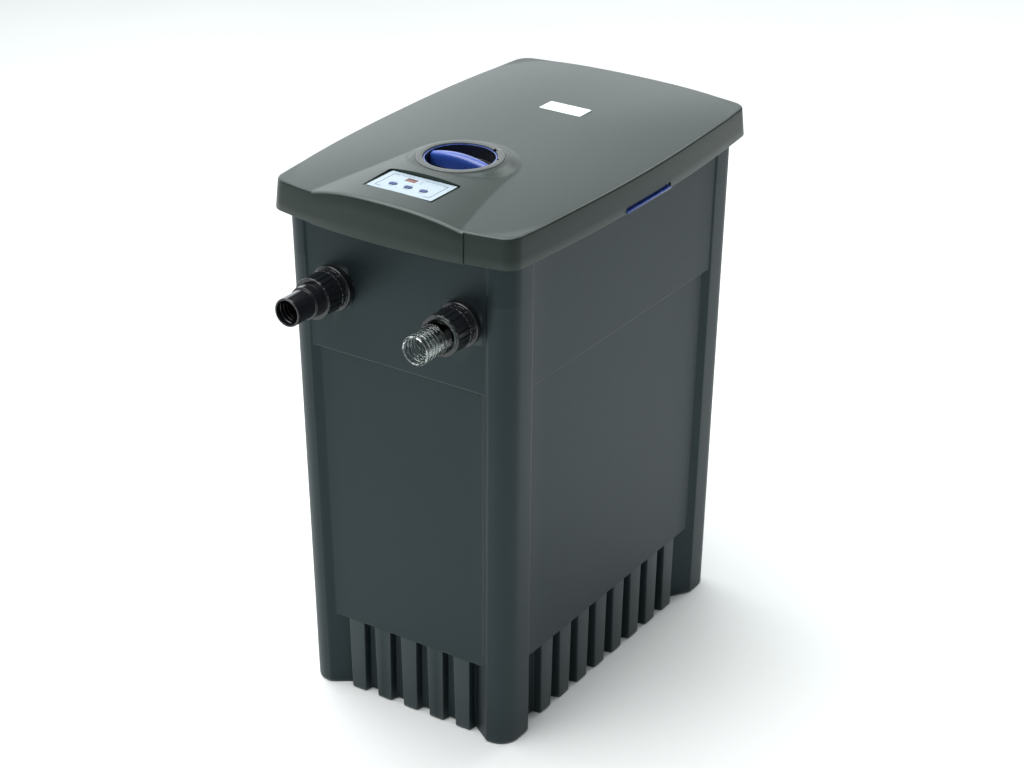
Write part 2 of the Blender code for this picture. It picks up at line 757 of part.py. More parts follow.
def build_lamp(finish, centre):
    """Two glass legs joined by a bridge at their lower ends, on one base."""
    lamp = cylinder("uv_lamp", 0.0120, 0.6600, 0.6885, finish, centre)
    for side in (-1, 1):
        leg = cylinder("lamp_leg", 0.0055, 0.3500, 0.6650, None, (0.0065 * side, RING_Y, 0), sides=12)
        combine(lamp, leg, "UNION")
    bridge = box("lamp_bridge", (-0.003, RING_Y - 0.003, 0.356), (0.003, RING_Y + 0.003, 0.362), None)
    combine(lamp, bridge, "UNION")


def o_ring(radius, z, thickness, points=6):
    """The section of an O-ring, run clockwise so that it turns into a closed ring."""
    turns = [2 * math.pi * step / points for step in range(points)]
    return [(radius + thickness * math.cos(turn), z - thickness * math.sin(turn)) for turn in turns]


def round_end(radius, z, steps=3):
    """Half of a hemisphere's section, from its full radius at this height down to the axis."""
    turns = [math.pi / 2 * step / steps for step in range(steps)]
    return [(radius * math.cos(turn), z - radius * math.sin(turn)) for turn in turns] + [(0.0, z - radius)]


def build_grip(finish):
    """A bar across the knob's well, crowned along and across."""
    half, thick, steps = 0.0432, 0.0078, 12
    rings = []
    for step in range(steps + 1):
        x = -half + 2 * half * step / steps
        crown = 0.7445 - 0.0055 * (x / half) ** 2
        width = thick * (1 - 0.25 * (x / half) ** 2)
        section = [(-width * 0.9, 0.7238), (-width, crown - 0.004)]
        for share in (-0.85, -0.5, 0, 0.5, 0.85):
            section.append((width * share, crown - 0.004 * (1 - math.sqrt(1 - share * share))))
        section += [(width, crown - 0.004), (width * 0.9, 0.7238)]
        rings.append([(x, RING_Y + y, z) for y, z in section])
    return loft("grip_bar", rings, finish)


def build_housing(finishes):
    centre = (0, RING_Y, 0)
    low, high = HOUSING_Z
    profile = [
        (0.0500, high),
        (0.0500, high - 0.006),
        (HOUSING_RADIUS, high - 0.006),
        (HOUSING_RADIUS, low),
        (HOUSING_BORE, low),
        (HOUSING_BORE, high),
    ]
    housing = turned("uvc_housing", profile, finishes["plastic"], centre)
    port = (0, RING_Y, FITTING_Z)
    stub = cylinder("port_stub", 0.0205, 0.0435, 0.0540, None, port, FACING_LEFT)
    combine(housing, stub, "UNION")
    combine(housing, cylinder("port_bore", PIPE_BORE, 0.02, 0.06, None, port, FACING_LEFT))
    for name, z in (("lower", 0.340), ("upper", 0.520)):
        clip = turned(
            name + "_housing_clip",
            ring_profile(HOUSING_RADIUS + GAP, HOUSING_RADIUS + 0.0035, z, z + CLIP_HEIGHT),
            finishes["plastic"],
            centre,
        )
        end = PARTITION_Y[0] - GAP
        arm = box("clip_arm", (-0.012, RING_Y + 0.0470, z), (0.012, end, z + CLIP_HEIGHT), None)
        combine(clip, arm, "UNION")


# ---------------------------------------------------------------- hose fittings


def build_fitting(name, x, finishes, tail_finish, first_step, tip_radius):
    """Bulkhead, its seals and nuts, and the stepped hose tail, along the wall's outward normal."""
    where = (x, FRONT_WALL_Y, FITTING_Z)
    bulkhead = [
        (THREAD_RADIUS, 0.0330),
        (THREAD_RADIUS, 0.0172),
        (0.0258, 0.0172),
        (0.0264, 0.0105),
        (0.0286, 0.0105),
        (0.0298, 0.0093),
        (0.0298, 0.0026),
        (THREAD_RADIUS, 0.0026),
        (THREAD_RADIUS, -0.0220),
        (HOSE_BORE, -0.0220),
        (HOSE_BORE, 0.0330),
    ]
    turned(name + "_bulkhead", bulkhead, finishes["gloss"], where, FACING_FRONT)
    seal = ring_profile(0.0252, 0.0290, 0.0008, 0.0023)
    turned(name + "_wall_seal", seal, finishes["rubber"], where, FACING_FRONT)
    outlines = [hexagon(0.0320), circle(THREAD_RADIUS + GAP)]
    behind = (x, FRONT_WALL_Y + 0.0102, FITTING_Z)
    plate(name + "_back_nut", outlines, 0.011, finishes["plastic"], behind, FACING_FRONT)
    union_nut = [
        (0.0262, 0.0470),
        (0.0272, 0.0458),
        (0.0272, 0.0187),
        (0.0264, 0.0178),
        (0.0249, 0.0178),
        (0.0249, 0.0428),
        (0.0214, 0.0428),
        (0.0214, 0.0470),
    ]
    turned(name + "_union_nut", union_nut, finishes["gloss"], where, FACING_FRONT)
    tail_seal = ring_profile(HOSE_BORE, 0.0240, 0.0333, 0.0352)
    turned(name + "_tail_seal", tail_seal, finishes["rubber"], where, FACING_FRONT)
    tail = [
        (tip_radius - 0.0005, TAIL_REACH),
        (tip_radius, TAIL_REACH - 0.0010),
        (tip_radius, first_step),
        (0.0210, first_step),
        (0.0210, 0.0425),
        (0.0245, 0.0425),
        (0.0245, 0.0355),
        (HOSE_BORE, 0.0355),
        (HOSE_BORE, TAIL_REACH),
    ]
    turned(name + "_tail", tail, tail_finish, where, FACING_FRONT)


def hexagon(radius):
    return arc((0, 0), radius, 0, 300, 5)


def circle(radius, points=24):
    return arc((0, 0), radius, 0, 360 - 360 / points, points - 1)


def build_outlet(finishes):
    where = (0, BACK_WALL_Y, OUTLET_Z)
    profile = [
        (OUTLET_RADIUS - 0.001, OUTLET_REACH),
        (OUTLET_RADIUS, OUTLET_REACH - 0.002),
        (OUTLET_RADIUS, 0.0140),
        (0.0440, 0.0110),
        (0.0500, 0.0110),
        (0.0520, 0.0090),
        (0.0520, 0.0028),
        (OUTLET_RADIUS, 0.0028),
        (OUTLET_RADIUS, -0.0220),
        (OUTLET_BORE, -0.0220),
        (OUTLET_BORE, OUTLET_REACH),
    ]
    turned("outlet_pipe", profile, finishes["gloss"], where, FACING_BACK)
    seal = ring_profile(OUTLET_RADIUS + 0.0008, 0.0500, 0.0008, 0.0025)
    turned("outlet_seal", seal, finishes["rubber"], where, FACING_BACK)
    outlines = [hexagon(0.0520), circle(OUTLET_RADIUS + GAP)]
    behind = (0, BACK_WALL_Y - 0.0105, OUTLET_Z)
    plate("outlet_back_nut", outlines, 0.011, finishes["plastic"], behind, FACING_BACK)


def build_pipes(finishes):
    port = -0.0543
    inlet = [(INLET_X, PIPE_START_Y, FITTING_Z), (INLET_X, RING_Y, FITTING_Z), (port, RING_Y, FITTING_Z)]
    tube("inlet_pipe", inlet, PIPE_RADIUS, PIPE_BORE, finishes["plastic"])
    spout_top = PUMP_Z + 0.0603
    hose = [(SLUDGE_X, PIPE_START_Y, FITTING_Z), (SLUDGE_X, PUMP_Y, FITTING_Z), (SLUDGE_X, PUMP_Y, spout_top)]
    tube("sludge_hose", hose, HOSE_RADIUS, HOSE_BORE, finishes["hose"])


# ---------------------------------------------------------------- filter media


def build_media(finishes):
    low, high = GRID_Z
    front, back = GRID_Y
    grid_outlines = [rectangle(-GRID_HALF, front, GRID_HALF, back)]
    for row in range(9):
        y = front + 0.034 + row * 0.0315
        for column in (-1, 1):
            low_x, high_x = sorted((0.008 * column, (GRID_HALF - 0.010) * column))
            grid_outlines.append(rectangle(low_x, y - 0.010, high_x, y + 0.010))
    grid = plate("media_grid", grid_outlines, high - low, finishes["plastic"], (0, 0, (low + high) / 2))
    for x in (-0.115, 0.115):
        for y in (front + 0.0120, back - 0.0200):
            foot, head = (x - 0.010, y - 0.010, FLOOR_Z + GAP), (x + 0.010, y + 0.010, low + 0.002)
            combine(grid, box("grid_leg", foot, head, None), "UNION")
    base = high + GAP
    low_corner, high_corner = (-GRID_HALF, PARTITION_Y[0], base), (GRID_HALF, PARTITION_Y[1], PARTITION_TOP_Z)
    box("partition", low_corner, high_corner, finishes["plastic"])
    for name in ("foam_coarse", "foam_medium", "foam_fine"):
        top = base + FOAM_HEIGHT
        box(name, (-FOAM_HALF, FOAM_Y[0], base), (FOAM_HALF, FOAM_Y[1], top), finishes[name], FOAM_ROUNDING)
        base = top + GAP
    cover_outlines = [rectangle(-FOAM_HALF, FOAM_Y[0], FOAM_HALF, FOAM_Y[1])]
    for row in range(5):
        y = FOAM_Y[0] + 0.040 + row * 0.0565
        for column in range(4):
            x = (column - 1.5) * 0.068
            cover_outlines.append(rectangle(x - 0.026, y - 0.021, x + 0.026, y + 0.021))
    plate("foam_retainer", cover_outlines, 0.006, finishes["plastic"], (0, 0, base + 0.003))


# ---------------------------------------------------------------- sludge pump


def build_pump(finishes):
    """A horizontal pump on the floor: its shaft lies along X and its outlet points up."""
    where = (PUMP_X, PUMP_Y, PUMP_Z)
    volute_profile = [
        (0.0140, 0.0180),
        (0.0320, 0.0150),
        (0.0340, 0.0130),
        (0.0340, -0.0150),
        (0.0036, -0.0150),
        (0.0036, -0.0110),
        (0.0260, -0.0110),
        (0.0260, 0.0110),
        (0.0120, 0.0130),
        (0.0120, 0.0180),
    ]
    volute = turned("pump_volute", volute_profile, finishes["gloss"], where, FACING_RIGHT)
    combine(volute, cylinder("spout", 0.0150, 0.0300, 0.0600, None, where), "UNION")
    combine(volute, cylinder("spout_bore", 0.0125, 0.0200, 0.0700, None, where))
    build_strainer(finishes["plastic"], where)
    motor_profile = [
        (0.0, -0.0450),
        (0.0036, -0.0450),
        (0.0036, -0.0153),
        (0.0310, -0.0153),
        (MOTOR_RADIUS, -0.0173),
        (MOTOR_RADIUS, -0.1080),
        (0.0300, -0.1110),
        (0.0, -0.1110),
    ]
    turned("pump_motor", motor_profile, finishes["blue"], where, FACING_RIGHT)
    build_impeller(finishes, where)
    low, high = (-0.0050, PUMP_Y - 0.026, FLOOR_Z + GAP), (0.078, PUMP_Y + 0.026, 0.040)
    cradle = box("pump_cradle", low, high, finishes["plastic"])
    combine(cradle, cylinder("cradle_seat", MOTOR_RADIUS + GAP, -0.2, 0.1, None, where, FACING_RIGHT, 32))
    combine(cradle, box("cradle_gap", (0.010, PUMP_Y - 0.05, 0.012), (0.060, PUMP_Y + 0.05, 0.06), None))


def build_strainer(finish, where):
    """A cap with slots over the pump's inlet."""
    profile = [
        (0.0, 0.0300),
        (0.0300, 0.0300),
        (0.0355, 0.0270),
        (0.0355, 0.0155),
        (0.0345, 0.0155),
        (0.0335, 0.0255),
        (0.0, 0.0285),
    ]
    strainer = turned("pump_strainer", profile, finish, where, FACING_RIGHT)
    for row in range(-2, 3):
        y = row * 0.011
        reach = math.sqrt(0.0280**2 - y * y)
        low = (PUMP_X + 0.020, PUMP_Y + y - 0.0025, PUMP_Z - reach)
        high = (PUMP_X + 0.040, PUMP_Y + y + 0.0025, PUMP_Z + reach)
        combine(strainer, box("strainer_slot", low, high, None))


def build_impeller(finishes, where):
    """Six straight vanes round a hub, on the motor's shaft."""
    outline = []
    for vane in range(6):
        middle = vane * 60
        outline += arc((0, 0), 0.0080, middle - 22, middle - 12, 1)
        outline += arc((0, 0), 0.0225, middle - 5, middle + 5, 1)
        outline += arc((0, 0), 0.0080, middle + 12, middle + 22, 1)
    bore = circle(0.0033, 12)
    plate("pump_impeller", [outline, bore], 0.014, finishes["white"], where, FACING_RIGHT)
    cylinder("pump_shaft", 0.0030, -0.0400, 0.0075, finishes["steel"], where, FACING_RIGHT, 12)


# ---------------------------------------------------------------- whole object


def all_finishes():
    return {
        "charcoal": material("charcoal_abs", (0.036, 0.046, 0.047), 0.55),
        "lid": material("lid_abs", (0.042, 0.052, 0.050), 0.42),
        "gloss": material("black_gloss", (0.010, 0.011, 0.012), 0.22),
        "plastic": material("black_plastic", (0.020, 0.022, 0.023), 0.45),
        "clear": material("clear_plastic", (0.80, 0.84, 0.84), 0.08),
        "blue": material("blue_plastic", (0.030, 0.070, 0.250), 0.30),
        "white": material("white_plastic", (0.82, 0.84, 0.85), 0.40),
        "red": material("display_red", (0.12, 0.02, 0.02), 0.15),
        "green": material("circuit_green", (0.02, 0.16, 0.06), 0.40),
        "rubber": material("rubber", (0.015, 0.015, 0.015), 0.80),
        "glass": material("quartz", (0.90, 0.92, 0.92), 0.05),
        "lamp": material("lamp", (0.85, 0.85, 0.90), 0.20),
        "steel": material("steel", (0.60, 0.60, 0.60), 0.30, 1.0),
        "hose": material("hose_grey", (0.12, 0.13, 0.14), 0.40),
        "foam_coarse": material("foam_blue", (0.05, 0.12, 0.30), 0.95),
        "foam_medium": material("foam_green", (0.08, 0.20, 0.10), 0.95),
        "foam_fine": material("foam_red", (0.30, 0.06, 0.05), 0.95),
    }


def build_all():
    finishes = all_finishes()
    build_tub(finishes["charcoal"])
    build_rim_gasket(finishes["rubber"])
    build_lid(finishes["lid"])
    build_latches(finishes["blue"], finishes["steel"])
    build_console(finishes)
    build_cable_gland(finishes["gloss"])
    build_uvc(finishes)
    build_housing(finishes)
    build_fitting("inlet", INLET_X, finishes, finishes["gloss"], 0.0630, 0.0186)
    build_fitting("sludge", SLUDGE_X, finishes, finishes["clear"], 0.0625, 0.0190)
    build_outlet(finishes)
    build_pipes(finishes)
    build_media(finishes)
    build_pump(finishes)


clear_scene()
ORIGIN = bpy.data.objects.new("tub_frame", None)
PARTS.objects.link(ORIGIN)
ORIGIN.location = (0, -MIDDLE_Y, 0)
bpy.context.view_layer.update()
build_all()
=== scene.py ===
"""Looks of the box pond filter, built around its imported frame.

Everything is in metres. Shapes are drawn in the tub's own frame, whose origin is on the ground under
the middle of the tub, and each piece is then moved by TUB_Y into the row's frame. -Y is the front with
the two hose fittings.
"""

import json
import math

import bmesh
import bpy
from mathutils import Matrix, Vector
from mathutils import noise as mathutils_noise
from mathutils.geometry import delaunay_2d_cdt


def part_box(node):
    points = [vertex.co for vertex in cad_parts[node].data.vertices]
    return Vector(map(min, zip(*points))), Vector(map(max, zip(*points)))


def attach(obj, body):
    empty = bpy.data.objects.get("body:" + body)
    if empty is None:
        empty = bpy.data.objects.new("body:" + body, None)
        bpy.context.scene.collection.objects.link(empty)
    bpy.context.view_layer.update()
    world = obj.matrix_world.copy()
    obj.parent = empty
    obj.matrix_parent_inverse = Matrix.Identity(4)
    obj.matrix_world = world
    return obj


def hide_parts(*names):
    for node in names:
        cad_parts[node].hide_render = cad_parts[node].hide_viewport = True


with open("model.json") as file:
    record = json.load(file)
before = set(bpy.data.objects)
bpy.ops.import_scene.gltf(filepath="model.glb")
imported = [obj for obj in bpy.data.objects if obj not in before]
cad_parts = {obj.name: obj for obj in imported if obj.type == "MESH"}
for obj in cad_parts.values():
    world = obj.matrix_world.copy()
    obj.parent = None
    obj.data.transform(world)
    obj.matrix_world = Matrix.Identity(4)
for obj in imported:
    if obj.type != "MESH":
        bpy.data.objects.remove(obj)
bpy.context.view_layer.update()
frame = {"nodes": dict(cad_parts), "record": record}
NODES = frame["nodes"]
TUB_Y = sum(corner.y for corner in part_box("tub")) / 2

# Tub
BASE_HALF = (0.1584, 0.2619)  # half of its width and length at the ground
TOP_HALF = (0.1690, 0.2725)  # the same at the lower edge of the lid's skirt
SKIRT_Z = 0.683
WALL = 0.0035
FLOOR_Z = 0.006
COLUMN = (0.0313, 0.0510)  # the corner columns' reach along the short and the long sides
COLUMN_RADIUS = 0.028
TUB_EDGE = 0.0014  # rounding of the columns' and the ribs' edges
FLANK_SLOPE = 29 / 19
BAND_DEPTH = 0.002
PANEL_DEPTH = 0.0075
GROOVE_DEPTH = 0.0190
CHAMFER = 0.0035
RIB_TOP_Z = 0.1075
BAND_Z = 0.504
RIM_Z = 0.714
RIM_FLANGE = 0.003
RIM_FLANGE_Z = 0.7085
RIB_DRAFT = 0.0025
SHORT_RIBS = (5, 0.0420, 0.0105, 0.0121)  # how many, their pitch, half their face's width below and above
LONG_RIBS = (8, 0.0446, 0.0112, 0.0130)

# Lid
LID_HALF = (0.1953, 0.2997)
LID_BOW = (0.0159, 0.0199)  # how far the long and the short sides bulge
LID_CORNER = 0.0225
LID_WALL = 0.003
LID_INSET = 0.0028
EDGE_Z = 0.7225
EDGE_RADIUS = 0.003
DOME = 0.0110
LEDGE_Z = 0.7200
SEAM_X = (-0.1100, 0.1165)  # the front skirt's middle section lies between these two seams
SEAM_STEP = 0.0019
SEAM_HALF = 0.0003
LID_STEPS = 72

# Console
RING_Y = -0.130
RING_RADIUS = 0.0555
WELL_RADIUS = 0.0463
RING_TOP_Z = 0.7424
RING_SEAT_Z = 0.7365
COLLAR_RADIUS = 0.0500
BOSS_REACH = 0.022
CONSOLE_LINE = ((-0.300, 0.7368), (-0.260, 0.7383), (-0.204, 0.7412), (-0.120, 0.7412))  # y and height
CONSOLE_EDGE = ((-0.300, 0.113), (-0.200, 0.089), (-0.160, 0.081), (-0.120, 0.074))  # y and half width
RECESS = (0.0530, -0.2625, -0.2030, 0.7350)  # half width, front, back and floor
WINDOW = (0.0460, -0.2560, -0.2070)  # half width, front and back, as for the label
LABEL = (0.0480, -0.2595, -0.2045)
LABEL_Z = (0.7353, 0.7365)
INK_SUNK = 0.00005
INK_PROUD = 0.0001
BUTTON_PITCH = 0.0225
BUTTON_Y = -0.2395
BUTTON_HALF = (0.0060, 0.0038)
BUTTON_Z = (0.7302, 0.7373)
DISPLAY = (-0.0163, -0.2243, -0.0017, -0.2152)  # low x, low y, high x, high y
DISPLAY_Z = (0.7291, 0.7362)
GRIP_TURN = -0.05  # the bar's slope across the well
PLATE_CENTRE = (0.003, 0.106)
PLATE_HALF = (0.0315, 0.0145)
PLATE_FLOOR_Z = 0.7318
PLATE_THICKNESS = 0.0012

# Latches
PIN_X = 0.1845
PIN_Z = 0.7155
PIN_RADIUS = 0.0015
LATCH_HALF = 0.0430
LIP_HALF = 0.0525
NOTCH_Z = 0.6912
EAR_X = (0.1812, 0.1885)
EAR_Y = (0.0440, 0.0480)
EAR_Z = (0.7115, 0.7213)
PIN_PLAY = 0.0002
PIN_HALF = 0.0485

# Fittings
FITTING_Z = 0.5945
INLET_X = -0.0925
SLUDGE_X = 0.0980
FRONT_WALL_Y = -0.2692
HOSE_BORE = 0.0160
THREAD_RADIUS = 0.0245
OUTLET_Z = 0.565
BACK_WALL_Y = 0.2687
OUTLET_REACH = 0.0605
OUTLET_BORE = 0.0345
OUTLET_RADIUS = 0.0375
TAIL_REACH = 0.0960
THREAD_PLAY = 0.0005
GLAND_Z = 0.7030
GLAND_HOLE = 0.0083

# Studio
BEHIND = (-0.87, 0.50, 0.0)  # the way to the bright backdrop
ROOM_STRENGTH = 0.25
BACKDROP_STRENGTH = 1.9
CAMERA_PLACE = (1.6502, -2.4960, 1.8502)
CAMERA_TURN = 0.586576
CAMERA_DIP = 0.457883
CAMERA_ROLL = 0.003626
CAMERA_LENS = 87.82

# Clearances
GAP = 0.0003
RIM_MARGIN = 0.0055  # from a hole in a wall to the edges that keep its rim's shading beside it
LID_MARGIN = 0.002

# Inside
FOAM_HALF = 0.143
FOAM_CORNER = 0.006
HOUSING_RADIUS = 0.0455
HOUSING_BORE = 0.0425
HOUSING_Z = (0.300, 0.690)
PARTITION_Y = -0.0790
FOAM_Y = (-0.0725, 0.231)
FOAM_HEIGHT = 0.118
FOAM_LOW_Z = 0.1265
RETAINER_THICKNESS = 0.006
PIPE_RADIUS = 0.0200
PIPE_BORE = 0.0170
HOSE_RADIUS = 0.0185
CLIP_HEIGHT = 0.020
SLEEVE_RADIUS = 0.0150
SLEEVE_BORE = 0.0135
SLEEVE_Z = (0.3450, 0.7040)
PIPE_START_Y = -0.2467
PIPE_END_X = -0.0543
PUMP_Y = -0.191
SPOUT_Z = 0.1223

FACING_FRONT = (math.radians(90), 0, 0)
FACING_BACK = (math.radians(-90), 0, 0)
FACING_LEFT = (0, math.radians(-90), 0)


# ---------------------------------------------------------------- outlines


def arc(centre, radius, start, end, steps):
    """Points on an arc, with angles in degrees."""
    points = []
    for step in range(steps + 1):
        angle = math.radians(start + (end - start) * step / steps)
        points.append((centre[0] + radius * math.cos(angle), centre[1] + radius * math.sin(angle)))
    return points


def along(table, value):
    """Linear interpolation in a table of (key, value) pairs, held constant beyond its ends."""
    if value <= table[0][0]:
        return table[0][1]
    for (low, first), (high, second) in zip(table, table[1:]):
        if value <= high:
            return first + (second - first) * (value - low) / (high - low)
    return table[-1][1]


def ease(share):
    """A smooth step from 0 to 1."""
    share = min(max(share, 0.0), 1.0)
    return share * share * (3 - 2 * share)


def filleted(points, radius, steps=3, closed=True):
    """Rounds each corner of an outline; straight corners give as many points as sharp ones."""
    rounded = []
    count = len(points)
    for index, point in enumerate(points):
        if not closed and index in (0, count - 1):
            rounded.append(tuple(point))
            continue
        corner = Vector(point)
        before = Vector(points[index - 1]) - corner
        after = Vector(points[(index + 1) % count]) - corner
        reach = min(radius, 0.45 * before.length, 0.45 * after.length)
        start = corner + before.normalized() * reach
        end = corner + after.normalized() * reach
        for step in range(steps + 1):
            share = step / steps
            first = start.lerp(corner, share)
            second = corner.lerp(end, share)
            rounded.append(tuple(first.lerp(second, share)))
    return rounded


def rounded_rectangle(low_x, low_y, high_x, high_y, radius, steps=5):
    points = arc((low_x + radius, low_y + radius), radius, 180, 270, steps)
    points += arc((high_x - radius, low_y + radius), radius, 270, 360, steps)
    points += arc((high_x - radius, high_y - radius), radius, 0, 90, steps)
    points += arc((low_x + radius, high_y - radius), radius, 90, 180, steps)
    return points


# ---------------------------------------------------------------- meshes


def new_object(name, mesh, location=(0, 0, 0), rotation=(0, 0, 0), sharp=35):
    """Makes an object in the row's frame from a bmesh drawn in the tub's frame."""
    bmesh.ops.recalc_face_normals(mesh, faces=mesh.faces)
    data = bpy.data.meshes.new(name)
    mesh.to_mesh(data)
    mesh.free()
    data.shade_smooth()
    data.set_sharp_from_angle(angle=math.radians(sharp))
    made = bpy.data.objects.new(name, data)
    bpy.context.scene.collection.objects.link(made)
    made.location = Vector(location) + Vector((0, TUB_Y, 0))
    made.rotation_euler = rotation
    return made


def fill(mesh, loop):
    """Triangles across a nearly flat ring, which may be concave and hold points in a straight line."""
    extents = [max(v.co[axis] for v in loop) - min(v.co[axis] for v in loop) for axis in range(3)]
    across = [axis for axis in range(3) if axis != extents.index(min(extents))]
    flat = [Vector((vertex.co[across[0]], vertex.co[across[1]])) for vertex in loop]
    edges = [(index, (index + 1) % len(loop)) for index in range(len(loop))]
    for triangle in delaunay_2d_cdt(flat, edges, [], 1, 1e-7)[2]:
        mesh.faces.new([loop[index] for index in triangle])


def fan(mesh, loop):
    """Triangles from a ring to its middle."""
    centre = mesh.verts.new(sum((vertex.co for vertex in loop), Vector()) / len(loop))
    for index, vertex in enumerate(loop):
        mesh.faces.new((vertex, loop[(index + 1) % len(loop)], centre))


def skin(mesh, rings, closed=False, cap=fill):
    """Joins rings of equal length by quads."""
    loops = [[mesh.verts.new(point) for point in ring] for ring in rings]
    pairs = list(zip(loops, loops[1:]))
    if closed:
        pairs.append((loops[-1], loops[0]))
    for lower, upper in pairs:
        for index in range(len(lower)):
            following = (index + 1) % len(lower)
            mesh.faces.new((lower[index], lower[following], upper[following], upper[index]))
    if not closed:
        cap(mesh, loops[0])
        cap(mesh, loops[-1])


def loft(name, rings, closed=False, cap=fill, sharp=35):
    mesh = bmesh.new()
    skin(mesh, rings, closed, cap)
    return new_object(name, mesh, sharp=sharp)


def turned(
    name, profile, location=(0, 0, 0), rotation=(0, 0, 0), sides=96, radius=0.0006, shape=None, sharp=35
):
    """Turns a closed (radius, z) profile about Z with its corners rounded.

    shape, where given, changes a point's radius: shape(radius, z, angle). A profile that touches the axis is
    closed there by a fan.
    """
    solid = min(r for r, _ in profile) <= 0
    if not radius:
        rounded = profile
    elif solid:
        rounded = filleted(profile, radius, closed=False)
    else:
        rounded = filleted(profile, radius)
    mesh = bmesh.new()
    columns = []
    for side in range(sides):
        angle = 2 * math.pi * side / sides
        column = []
        for r, z in rounded:
            reach = shape(r, z, angle) if shape else r
            column.append(mesh.verts.new((reach * math.cos(angle), reach * math.sin(angle), z)))
        columns.append(column)
    length = len(rounded)
    last = length - 1 if solid else length
    for side in range(sides):
        here, there = columns[side], columns[(side + 1) % sides]
        for index in range(last):
            following = (index + 1) % length
            corners = (here[index], there[index], there[following], here[following])
            mesh.faces.new(corners)
    bmesh.ops.remove_doubles(mesh, verts=mesh.verts, dist=1e-6)
    return new_object(name, mesh, location, rotation, sharp)


def ring_profile(inner, outer, low, high):
    return [(outer, high), (outer, low), (inner, low), (inner, high)]


def extruded(name, outline, low, high, location=(0, 0, 0), rotation=(0, 0, 0), edge=0.0, steps=2, sharp=35):
    """An outline drawn in XY, pulled from low to high, with its two rims rounded by edge."""
    rings = []
    levels = []
    for step in range(steps + 1 if edge else 1):
        angle = math.pi / 2 * step / steps if edge else 0
        levels.append((edge * (1 - math.sin(angle)), edge * (1 - math.cos(angle))))
    middle = Vector((sum(x for x, _ in outline), sum(y for _, y in outline))) / len(outline)
    half_x = max(abs(x - middle.x) for x, _ in outline)
    half_y = max(abs(y - middle.y) for _, y in outline)

    def level(inset, z):
        scale_x = 1 - inset / half_x
        scale_y = 1 - inset / half_y
        ring = []
        for x, y in outline:
            ring.append((middle.x + (x - middle.x) * scale_x, middle.y + (y - middle.y) * scale_y, z))
        return ring

    for inset, height in levels:
        rings.append(level(inset, low + height))
    for inset, height in reversed(levels):
        rings.append(level(inset, high - height))
    mesh = bmesh.new()
    skin(mesh, rings)
    return new_object(name, mesh, location, rotation, sharp)


def box(name, low, high, bevel=0.0008, segments=2):
    """A box from corner to corner with rounded edges."""
    low, high = Vector(low), Vector(high)
    mesh = bmesh.new()
    bmesh.ops.create_cube(mesh, size=1.0)
    bmesh.ops.scale(mesh, vec=high - low, verts=mesh.verts)
    bmesh.ops.bevel(mesh, geom=mesh.edges[:], offset=bevel, segments=segments, affect="EDGES", profile=0.5)
    return new_object(name, mesh, (low + high) / 2)


def cylinder_cutter(name, radius, low, high, location, rotation=(0, 0, 0), sides=96):
    mesh = bmesh.new()
    middle = Matrix.Translation((0, 0, (low + high) / 2))
    bmesh.ops.create_cone(
        mesh, cap_ends=True, segments=sides, radius1=radius, radius2=radius, depth=high - low, matrix=middle
    )
    return new_object(name, mesh, location, rotation)


def cut(obj, cutters, operation="DIFFERENCE", sharp=35):
    """Applies Booleans one after the other and removes the cutters."""
    for cutter in cutters:
        boolean = obj.modifiers.new("cut", "BOOLEAN")
        boolean.operation = operation
        boolean.solver = "EXACT"
        boolean.object = cutter
    bpy.context.view_layer.update()
    graph = bpy.context.evaluated_depsgraph_get()
    data = bpy.data.meshes.new_from_object(obj.evaluated_get(graph))
    data.name = obj.name
    obj.modifiers.clear()
    obj.data = data
    for cutter in cutters:
        bpy.data.objects.remove(cutter, do_unlink=True)
    data.shade_smooth()
    data.set_sharp_from_angle(angle=math.radians(sharp))
    return obj


def scored(obj, areas, axes):
    """Adds edges round each place that gets a hole, so that the shading of its rim stays beside it.

    An area holds the place's centre and reach along each of the two axes.
    """
    mesh = bmesh.new()
    mesh.from_mesh(obj.data)
    for area in areas:
        for axis, (centre, reach) in zip(axes, area):
            normal = Vector((0, 0, 0))
            normal[axis] = 1
            for side in (-1, 1):
                pieces = [*mesh.verts, *mesh.edges, *mesh.faces]
                place = normal * (centre + side * reach)
                bmesh.ops.bisect_plane(mesh, geom=pieces, dist=1e-6, plane_co=place, plane_no=normal)
    mesh.to_mesh(obj.data)
    mesh.free()


def joined(name, objects):
    """One object from several, with each one's place kept in the mesh."""
    mesh = bmesh.new()
    for obj in objects:
        bpy.context.view_layer.update()
        obj.data.transform(Matrix.Translation((0, -TUB_Y, 0)) @ obj.matrix_world)
        mesh.from_mesh(obj.data)
        bpy.data.objects.remove(obj, do_unlink=True)
    return new_object(name, mesh)


def settle(piece, body, slot, *nodes, finish=None):
    """Gives a piece its body, its slot's finish or another, and the CAD nodes that it stands for."""
    piece.data.materials.clear()
    piece.data.materials.append(FINISH[finish or slot])
    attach(piece, body)
    if nodes:
        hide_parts(*nodes)
    return piece


# ---------------------------------------------------------------- materials


def shader_of(name, roughness, metallic=0.0):
    made = bpy.data.materials.new(name)
    made.use_nodes = True
    tree = made.node_tree
    shader = tree.nodes["Principled BSDF"]
    shader.inputs["Roughness"].default_value = roughness
    shader.inputs["Metallic"].default_value = metallic
    return made, tree, shader


